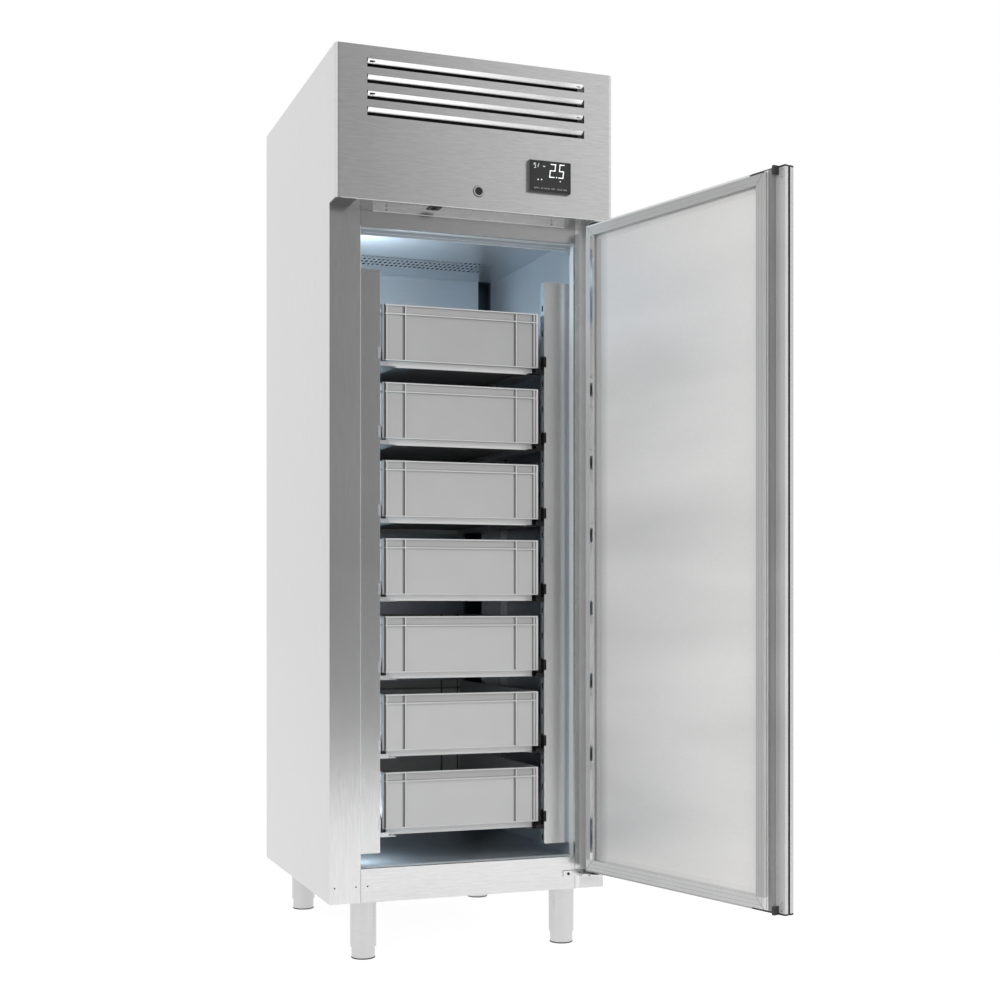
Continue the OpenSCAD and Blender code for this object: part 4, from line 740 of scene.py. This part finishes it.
def build_front_fixings():
    """Holes and screws of the front, and dark rings round the lock laid as painted shade."""
    bracket_front, flange_front, hole_r = BODY_FRONT - 0.003, BODY_FRONT - 0.0004, 0.0019
    holes("stile_holes", [(-0.3344, BODY_FRONT, 0.1758), (-0.2832, BODY_FRONT, 0.1761)], FRONT, hole_r)
    holes("rail_hole", [(-0.2549, BODY_FRONT, 0.176)], FRONT, hole_r)
    screws("bracket_screws", [(0.253, bracket_front, 0.1755), (0.2807, bracket_front, 0.1756)], FRONT, 0.0036,
           mat="black")
    holes("bracket_hole", [(0.2785, -0.3757, 0.178)], UP, 0.0018)
    flange_z = COVER_FOOT + 0.0062
    screws("flange_screws", [(x, flange_front, flange_z) for x in (-0.209, 0.209)], FRONT, 0.0022,
           mat="black")
    lock_x, _, lock_z = joints["lock_turn"]["pos_m"]
    lock_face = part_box("lock_housing")[0][1]
    bm = bmesh.new()
    # Dark rings round the barrel and round the housing, laid as painted shade
    rings = ((lock_face, 0.0096, 0.0074, 0.0002), (COVER_FRONT, 0.0136, 0.0125, 0.0003))
    for y, outer, inner, thick in rings:
        add_rings(bm, facing((lock_x, y - 0.0001, lock_z), FRONT),
                  [(outer, 0), (outer, thick), (inner, thick), (inner, 0)], close_top=False, steps=40)
    piece("lock_rings", bm, "seam", "cabinet")


def build_front_lines():
    """Painted highlights along edges, the seams, and painted shadow lines of the front's sheets."""
    boxes("edge_lines", [
        ((-0.334, COVER_FRONT - 0.0005, COVER_EDGE - 0.0002),
         (0.334, COVER_FRONT + 0.0003, COVER_EDGE + 0.0010)),
        ((-FLANGE_X, BODY_FRONT - 0.0016, COVER_FOOT), (FLANGE_X, BODY_FRONT - 0.0008, COVER_FOOT + 0.0012)),
        ((-OPENING_X - 0.0007, BODY_FRONT - 0.0004, RAIL_TOP),
         (-OPENING_X - 0.0001, BODY_FRONT + 0.0002, LINTEL_FOOT)),
    ], "edge")
    y0, y1 = BODY_FRONT - 0.00015, BODY_FRONT + 0.0002
    flange_end = -FLANGE_X - 0.0005
    seams = [((-OPENING_X, y0, COVER_FOOT + 0.0015), (flange_end, y1, COVER_FOOT + 0.0022)),
             ((flange_end - 0.0006, y0, COVER_FOOT), (flange_end, y1, COVER_FOOT + 0.0022))]
    for x in (-OPENING_X, OPENING_X):
        for z0, z1 in ((BODY_FOOT + 0.001, RAIL_TOP - 0.0005), (LINTEL_FOOT + 0.0005, COVER_EDGE - 0.0005)):
            seams.append(((x - 0.0004, y0, z0), (x + 0.0004, y1, z1)))
    boxes("front_seams", seams, "seam")
    # Painted shadow along the top and the left of the lower hinge's plate
    y0 = BODY_FRONT - 0.00012
    left, right, foot, top = 0.2376, 0.3380, 0.1684, 0.1838
    boxes("bracket_shadow", [((left, y0, top - 0.0007), (right, y1, top)),
                             ((left - 0.0005, y0, foot), (left, y1, top))], "seam")


def build_mouth():
    """Mitres of the plastic frame, and the trim with two round corners behind the lintel."""
    mitres = []
    for x, dx in ((-OPENING_X, -0.0003), (OPENING_X, 0.0003)):
        for z, dz in ((RAIL_TOP, 0.0006), (LINTEL_FOOT, -0.0006)):
            mitres.append(((min(x, x + dx), -0.3527, min(z, z + dz)),
                           (max(x, x + dx), -0.3285, max(z, z + dz))))
    boxes("frame_mitres", mitres, "seam")
    round_r, trim_front = 0.012, -0.3300
    half_w, top, turn_z = OPENING_X - 0.0002, LINTEL_FOOT - 0.0002, 1.6985
    angles = [math.pi / 16 * k for k in range(9)]
    corner = [(half_w - round_r + round_r * math.cos(a), turn_z + round_r * math.sin(a)) for a in angles]
    outline = [(-half_w, top)] + [(-x, z) for x, z in corner] + corner[::-1] + [(half_w, top)]
    bm = bmesh.new()
    ends = [[bm.verts.new((x, y, z)) for x, z in outline] for y in (trim_front, trim_front + 0.0014)]
    for end in ends:
        bm.faces.new(end)
    add_skin(bm, ends)
    piece("mouth_trim", bm, "trim", "cabinet")
    # Two pale lines along the trim as painted highlights
    y0, y1 = trim_front - 0.0003, trim_front + 0.0001
    lines = [((-0.2590, y0, z), (0.2590, y1, z + 0.0007)) for z in (1.7106, 1.7170)]
    boxes("mouth_trim_lines", lines, "edge")


def build_chamber_fixings():
    """Painted shade in the pilaster's slots, the cowl's screws, the drain and the air probe."""
    slot_x, slot_y0, slot_y1 = 0.21045, -0.3040, -0.2950
    slot_count, first_z, slot_pitch, slot_half = 22, 0.2590, 0.0625, 0.007
    # Dark faces laid in the pilaster's slots as painted shade
    bm = bmesh.new()
    for k in range(slot_count):
        z = first_z + slot_pitch * k
        z0, z1 = z - slot_half, z + slot_half
        corners = ((slot_y0, z0), (slot_y1, z0), (slot_y1, z1), (slot_y0, z1))
        add_face(bm, [(slot_x, *corner) for corner in corners])
    piece("pilaster_hole_shade", bm, "hole", "cabinet")
    screws("cowl_screws", [(x, 0.237, 1.60) for x in (-0.212, 0.212)], FRONT, 0.003)
    drain_y = 0.25
    bm = bmesh.new()
    add_rings(bm, facing((0, drain_y, CHAMBER_FLOOR + 0.0001), UP),
              [(0.017, 0), (0.017, 0.0008), (0.0155, 0.0012), (0.012, 0.0012), (0.012, 0.0002)])
    piece("drain_rim", bm, "chamber", "cabinet")
    holes("drain_hole", [(0, drain_y, CHAMBER_FLOOR + 0.0003)], UP, 0.0115)
    x, y, radius = 0.17, 0.226, 0.0028
    stem = bent([(x, y + 0.010, 1.66), (x, y, 1.66), (x, y, 1.63), (x, y, 1.60)], 0.006)
    tube("air_probe", stem, radius, "black")
    bm = bmesh.new()
    add_rings(bm, facing((x, y, 1.612), DOWN),
              [(radius, 0), (0.0036, 0.001), (0.0036, 0.024), (0.002, 0.027)])
    piece("air_probe_tip", bm, "chrome", "cabinet", smooth=True)


def build_gasket_lines():
    """Mitres of the gasket, lines of painted shade along its lips, a polished strip as a painted reflection,
    and a painted highlight and painted shade along its top, placed as on the shut door.
    """
    bm = bmesh.new()
    for side in (-1, 1):
        for z, inwards in ((GASKET_FOOT, GASKET_W), (GASKET_TOP, -GASKET_W)):
            outer = Vector((side * GASKET_X, GASKET_FACE, z))
            inner = Vector((side * (GASKET_X - GASKET_W), GASKET_FACE, z + inwards))
            across = (inner - outer).cross(REAR).normalized() * 0.0003
            lift = REAR * 0.00012
            corners = [outer - across, outer + across, inner + across, inner - across]
            add_face(bm, [OPEN @ (corner + lift) for corner in corners])
    piece("gasket_mitres", bm, "seam", "door")
    # Grey lines along the gasket's lips, as painted shade in its creases
    y0, y1 = GASKET_FACE - 0.0002, GASKET_FACE - 0.00002
    line_w = 0.0006
    lines = []
    for inset in (0.0075, 0.0165):
        x, z0, z1 = GASKET_X - inset, GASKET_FOOT + inset, GASKET_TOP - inset
        lines.append(((-x, y0, z0), (-x + line_w, y1, z1)))
        for z in (z0, z1 - line_w):
            lines.append(((-x, y0, z), (x, y1, z + line_w)))
    boxes("gasket_lines", lines, "seam_soft", "door", OPEN)
    # A polished strip on the hinge side, laid as a painted reflection
    y0 = GASKET_FACE - 0.0003
    strip_foot, strip_top = GASKET_FOOT + 0.026, GASKET_TOP - 0.026
    boxes("hinge_side_strip", [((0.2767, y0, strip_foot), (0.2868, y1, strip_top))], "polished", "door", OPEN)
    # Along the top, a painted highlight on the right part and painted shade on the left part
    top_x, change_x, z1 = GASKET_X - 0.0001, -0.2590, GASKET_TOP - 0.0001
    light_foot, dark_foot = GASKET_TOP - 0.0028, GASKET_TOP - 0.0034
    boxes("gasket_top_light", [((change_x, y0, light_foot), (top_x, GASKET_FACE, z1))], "edge", "door", OPEN)
    boxes("gasket_top_dark", [((-top_x, y0, dark_foot), (change_x, GASKET_FACE, z1))], "dark", "door", OPEN)


def build_door_fixings():
    """The small screws of the door and the edges of its caps, placed as on the shut door."""
    foot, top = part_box("door_skin")[0][2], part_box("door_skin")[1][2]
    bm = bmesh.new()
    for z in (foot + 0.0095, foot + 0.0265, top - 0.0265, top - 0.0095):
        add_screw(bm, OPEN @ Vector((-0.3290, -0.390, z)), OPEN_TURN @ REAR, 0.0026)
    piece("margin_screws", bm, "screw", "door")
    bm = bmesh.new()
    for x in (-0.315, -0.262):
        for z, normal in ((foot, DOWN), (top, UP)):
            add_screw(bm, OPEN @ Vector((x, -0.4055, z)), normal, 0.003)
    piece("cap_screws", bm, "screw", "door")
    edges = [((-0.3362, -0.3905, z), (-0.2590, -0.3898, z + 0.0036)) for z in (foot + 0.0004, top - 0.0040)]
    boxes("cap_edges", edges, "dark", "door", OPEN)


def build_leg_details():
    """The dark ring round each foot's pad, and four screws under each sleeve's flange."""
    flange_z, screw_circle = BODY_FOOT - 0.003, 0.0357
    for corner in FEET:
        low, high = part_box("foot_" + corner)
        x, y = (low[0] + high[0]) / 2, (low[1] + high[1]) / 2
        bm = bmesh.new()
        add_rings(bm, Matrix.Translation((x, y, 0.0002)),
                  [(0.0276, 0), (0.0284, 0.0006), (0.0284, 0.0024), (0.0272, 0.0028)], steps=48)
        piece("pad_ring_" + corner, bm, "dark", "foot_%s_body" % corner)
        angles = [math.radians(45 + 90 * k) for k in range(4)]
        places = [(x + screw_circle * math.cos(a), y + screw_circle * math.sin(a), flange_z) for a in angles]
        screws("sleeve_screws_" + corner, places, DOWN, 0.0026)


def build_fan_guard():
    """Wire rings and spokes behind the condenser's fan."""
    x, _, z = joints["condenser_fan_spin"]["pos_m"]
    ring_y, spoke_y = -0.2268, -0.2250
    spoke_ends = (0.045, 0.109)
    bm = bmesh.new()
    for radius in (0.048, 0.060, 0.072, 0.084, 0.096, 0.107):
        ring = [(x + u, ring_y, z + v) for u, v in circle(radius, 48)]
        add_tube(bm, ring + ring[:1], 0.0011, 6)
    for k in range(6):
        angle = math.radians(30 + 60 * k)
        u, v = math.cos(angle), math.sin(angle)
        add_tube(bm, [(x + end * u, spoke_y, z + end * v) for end in spoke_ends], 0.0012, 6)
    piece("fan_guard", bm, "wire", "cabinet", smooth=True)


def build_unit_details():
    """Conduit, capillary, foil tape and fixings of the cooling unit."""
    tube("unit_conduit", bent([(-0.082, -0.151, 1.935), (-0.055, -0.151, 1.935), (-0.055, -0.110, 1.935),
                               (-0.055, -0.110, 1.86), (0.1925, -0.110, 1.86)], 0.018), 0.006, "black")
    turns, turn_steps, coil_r, coil_rise = 7, 20, 0.018, 0.004
    angles = [2 * math.pi * k / turn_steps for k in range(turn_steps * turns + 1)]
    coil = [(-0.120 + coil_r * math.cos(a), -0.275 + coil_r * math.sin(a),
             1.846 + coil_rise * a / (2 * math.pi)) for a in angles]
    start = [(-0.080, -0.285, 1.886), (-0.092, -0.282, 1.880), (-0.100, -0.278, 1.860)]
    end = [(-0.100, -0.276, 1.890), (-0.098, -0.278, 1.960), (-0.090, -0.283, 1.980), (-0.070, -0.285, 1.984)]
    tube("capillary", start + coil + end, 0.0014, "copper", sides=6)
    (x0, y0, z0), (x1, y1, z1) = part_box("evaporator_box")
    thick, width = 0.0003, 0.025
    lap = 2 * thick
    strips = []
    for xa, xb in ((x0 - thick, x0 + width), (x1 - width, x1 + thick)):
        strips.append(((xa, y1 - thick, z0), (xb, y1 + thick, z1)))
        strips.append(((xa, y0 - thick, z0), (xb, y0 + thick, z1)))
        strips.append(((xa, y0, z1 - thick), (xb, y1, z1 + thick)))
    for y in (y0, y1):
        strips.append(((x0 - lap, y - lap, z1 - width), (x1 + lap, y + lap, z1 + lap)))
    boxes("foil_tape", strips, "tape")
    (x0, y0, _), (x1, y1, z1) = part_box("electrical_box")
    inset = 0.008
    places = [(x, y, z1) for x in (x0 + inset, x1 - inset) for y in (y0 + inset, y1 - inset)]
    screws("electrical_screws", places, UP, 0.003)


build_display()
build_blade_marks()
build_front_fixings()
build_front_lines()
build_mouth()
build_chamber_fixings()
build_gasket_lines()
build_door_fixings()
build_leg_details()
build_fan_guard()
build_unit_details()

# Light, floor and camera

FLOOR_GREY, FLOOR_GLOW = 0.40, 0.80
# The room's light on matt surfaces, and as seen or mirrored
ROOM_LIGHT, ROOM_SEEN = 0.55, 1.0
# The card behind the camera: its sides, plane and top
CARD_LEFT, CARD_RIGHT, CARD_Y, CARD_TOP = -4.0, 3.6, -4.2, 7.0
# Its grey at the left and the right of a slope, and where that slope starts and ends
CARD_DARK, CARD_PALE, SLOPE_LEFT, SLOPE_RIGHT = 0.30, 0.80, 0.6, 2.1
# The camera, level and with a shifted lens
CAMERA_PLACE = (-1.2125, -3.899, 0.846)
CAMERA_TURN = math.radians(-20.07)
CAMERA_LENS, CAMERA_SHIFT_X, CAMERA_SHIFT_Y = 56.05, -0.0016, 0.1006
# The chamber's lamps stand beside the left wall. Each has its height, aim, length and power
COLD_X, COLD_Y, COLD_WIDTH, COLD_COLOUR = -0.262, -0.262, 0.012, (0.80, 0.92, 1.0)
COLD_LAMPS = {
    "cold": (0.93, (0.0, 0.30, 0.93), 1.36, 1.6),
    "cold_top": (1.64, (0.05, 0.10, 1.83), 0.10, 1.8),
    "cold_foot": (0.29, (0.10, 0.05, 0.15), 0.08, 0.35),
}


def seen_directly(tree):
    """1 for camera, glossy and transmission rays, 0 for the rest."""
    path = tree.nodes.new("ShaderNodeLightPath")
    seen = path.outputs["Is Camera Ray"]
    for socket in ("Is Glossy Ray", "Is Transmission Ray"):
        seen = maths(tree, "MAXIMUM", seen, path.outputs[socket])
    return seen


def setup_world():
    world = bpy.data.worlds.new("studio")
    scene.world = world
    world.use_nodes = True
    tree = world.node_tree
    back = tree.nodes["Background"]
    back.inputs["Color"].default_value = (1, 1, 1, 1)
    feed(tree, back.inputs["Strength"], remap(tree, seen_directly(tree), ROOM_LIGHT, ROOM_SEEN, 0, 1))


def area(name, place, target, size, power, colour=(1, 1, 1)):
    """A rectangular light that shines from a place to a target and isn't mirrored."""
    data = bpy.data.lights.new(name, "AREA")
    data.shape = "RECTANGLE"
    data.size, data.size_y = size
    data.energy = power
    data.color = colour
    ob = bpy.data.objects.new(name, data)
    scene.collection.objects.link(ob)
    ob.location = place
    ob.rotation_euler = (Vector(target) - Vector(place)).to_track_quat("-Z", "Y").to_euler()
    ob.visible_glossy = False
    return ob


def setup_floor():
    """A pale floor that takes the shadow."""
    mat, tree, bsdf = shader("floor")
    speckle = remap(tree, noise(tree, coords(tree, (3, 3, 3))), 0, 1)
    feed(tree, bsdf.inputs["Base Color"], mix(tree, speckle, grey(FLOOR_GREY), grey(FLOOR_GREY + 0.01)))
    bsdf.inputs["Roughness"].default_value = 1.0
    bsdf.inputs["Specular IOR Level"].default_value = 0.0
    bsdf.inputs["Emission Color"].default_value = (1, 1, 1, 1)
    feed(tree, bsdf.inputs["Emission Strength"], remap(tree, seen_directly(tree), 0.0, FLOOR_GLOW, 0, 1))
    bpy.ops.mesh.primitive_plane_add(size=60, location=(0, 0, -0.0005))
    floor = bpy.context.object
    floor.name = "floor"
    floor.data.materials.append(mat)


def setup_card():
    """A grey card behind the camera, seen only in what mirrors it."""
    mat, tree, bsdf = shader("card")
    speckle = remap(tree, noise(tree, coords(tree, (1, 1, 1))), 0, 1)
    slope = beyond(RIGHT, SLOPE_LEFT, SLOPE_RIGHT)(tree)
    feed(tree, bsdf.inputs["Emission Color"], mix(tree, speckle, grey(0.97), grey(1.0)))
    feed(tree, bsdf.inputs["Emission Strength"], remap(tree, slope, CARD_DARK, CARD_PALE, 0, 1))
    bsdf.inputs["Base Color"].default_value = (0, 0, 0, 1)
    bsdf.inputs["Specular IOR Level"].default_value = 0.0
    bm = bmesh.new()
    add_face(bm, [(CARD_LEFT, CARD_Y, 0.001), (CARD_RIGHT, CARD_Y, 0.001),
                  (CARD_RIGHT, CARD_Y, CARD_TOP), (CARD_LEFT, CARD_Y, CARD_TOP)])
    mesh = bpy.data.meshes.new("card")
    bm.to_mesh(mesh)
    bm.free()
    card = bpy.data.objects.new("card", mesh)
    scene.collection.objects.link(card)
    mesh.materials.append(mat)
    card.visible_diffuse = False
    card.visible_shadow = False
    card.visible_camera = False


def setup_camera():
    data = bpy.data.cameras.new("camera")
    ob = bpy.data.objects.new("camera", data)
    scene.collection.objects.link(ob)
    ob.location = CAMERA_PLACE
    ob.rotation_euler = (math.radians(90), 0, CAMERA_TURN)
    data.lens = CAMERA_LENS
    data.sensor_width = 36
    data.shift_x = CAMERA_SHIFT_X
    data.shift_y = CAMERA_SHIFT_Y
    data.clip_start = 0.05
    data.clip_end = 100
    scene.camera = ob


setup_world()
setup_floor()
setup_card()
setup_camera()
area("key", (-2.6, -3.2, 3.2), (0, 0, 1.2), (1.6, 1.6), 45)
area("fill", (2.8, -2.6, 2.2), (0, 0, 1.1), (1.8, 1.8), 25)
for name, (z, target, length, power) in COLD_LAMPS.items():
    lamp = area(name, (COLD_X, COLD_Y, z), target, (COLD_WIDTH, length), power, COLD_COLOUR)
    lamp.visible_camera = False
area("low", (0.4, -2.7, 0.5), (0, 0, 0.5), (1.6, 0.8), 12)
scene.view_settings.view_transform = "Standard"
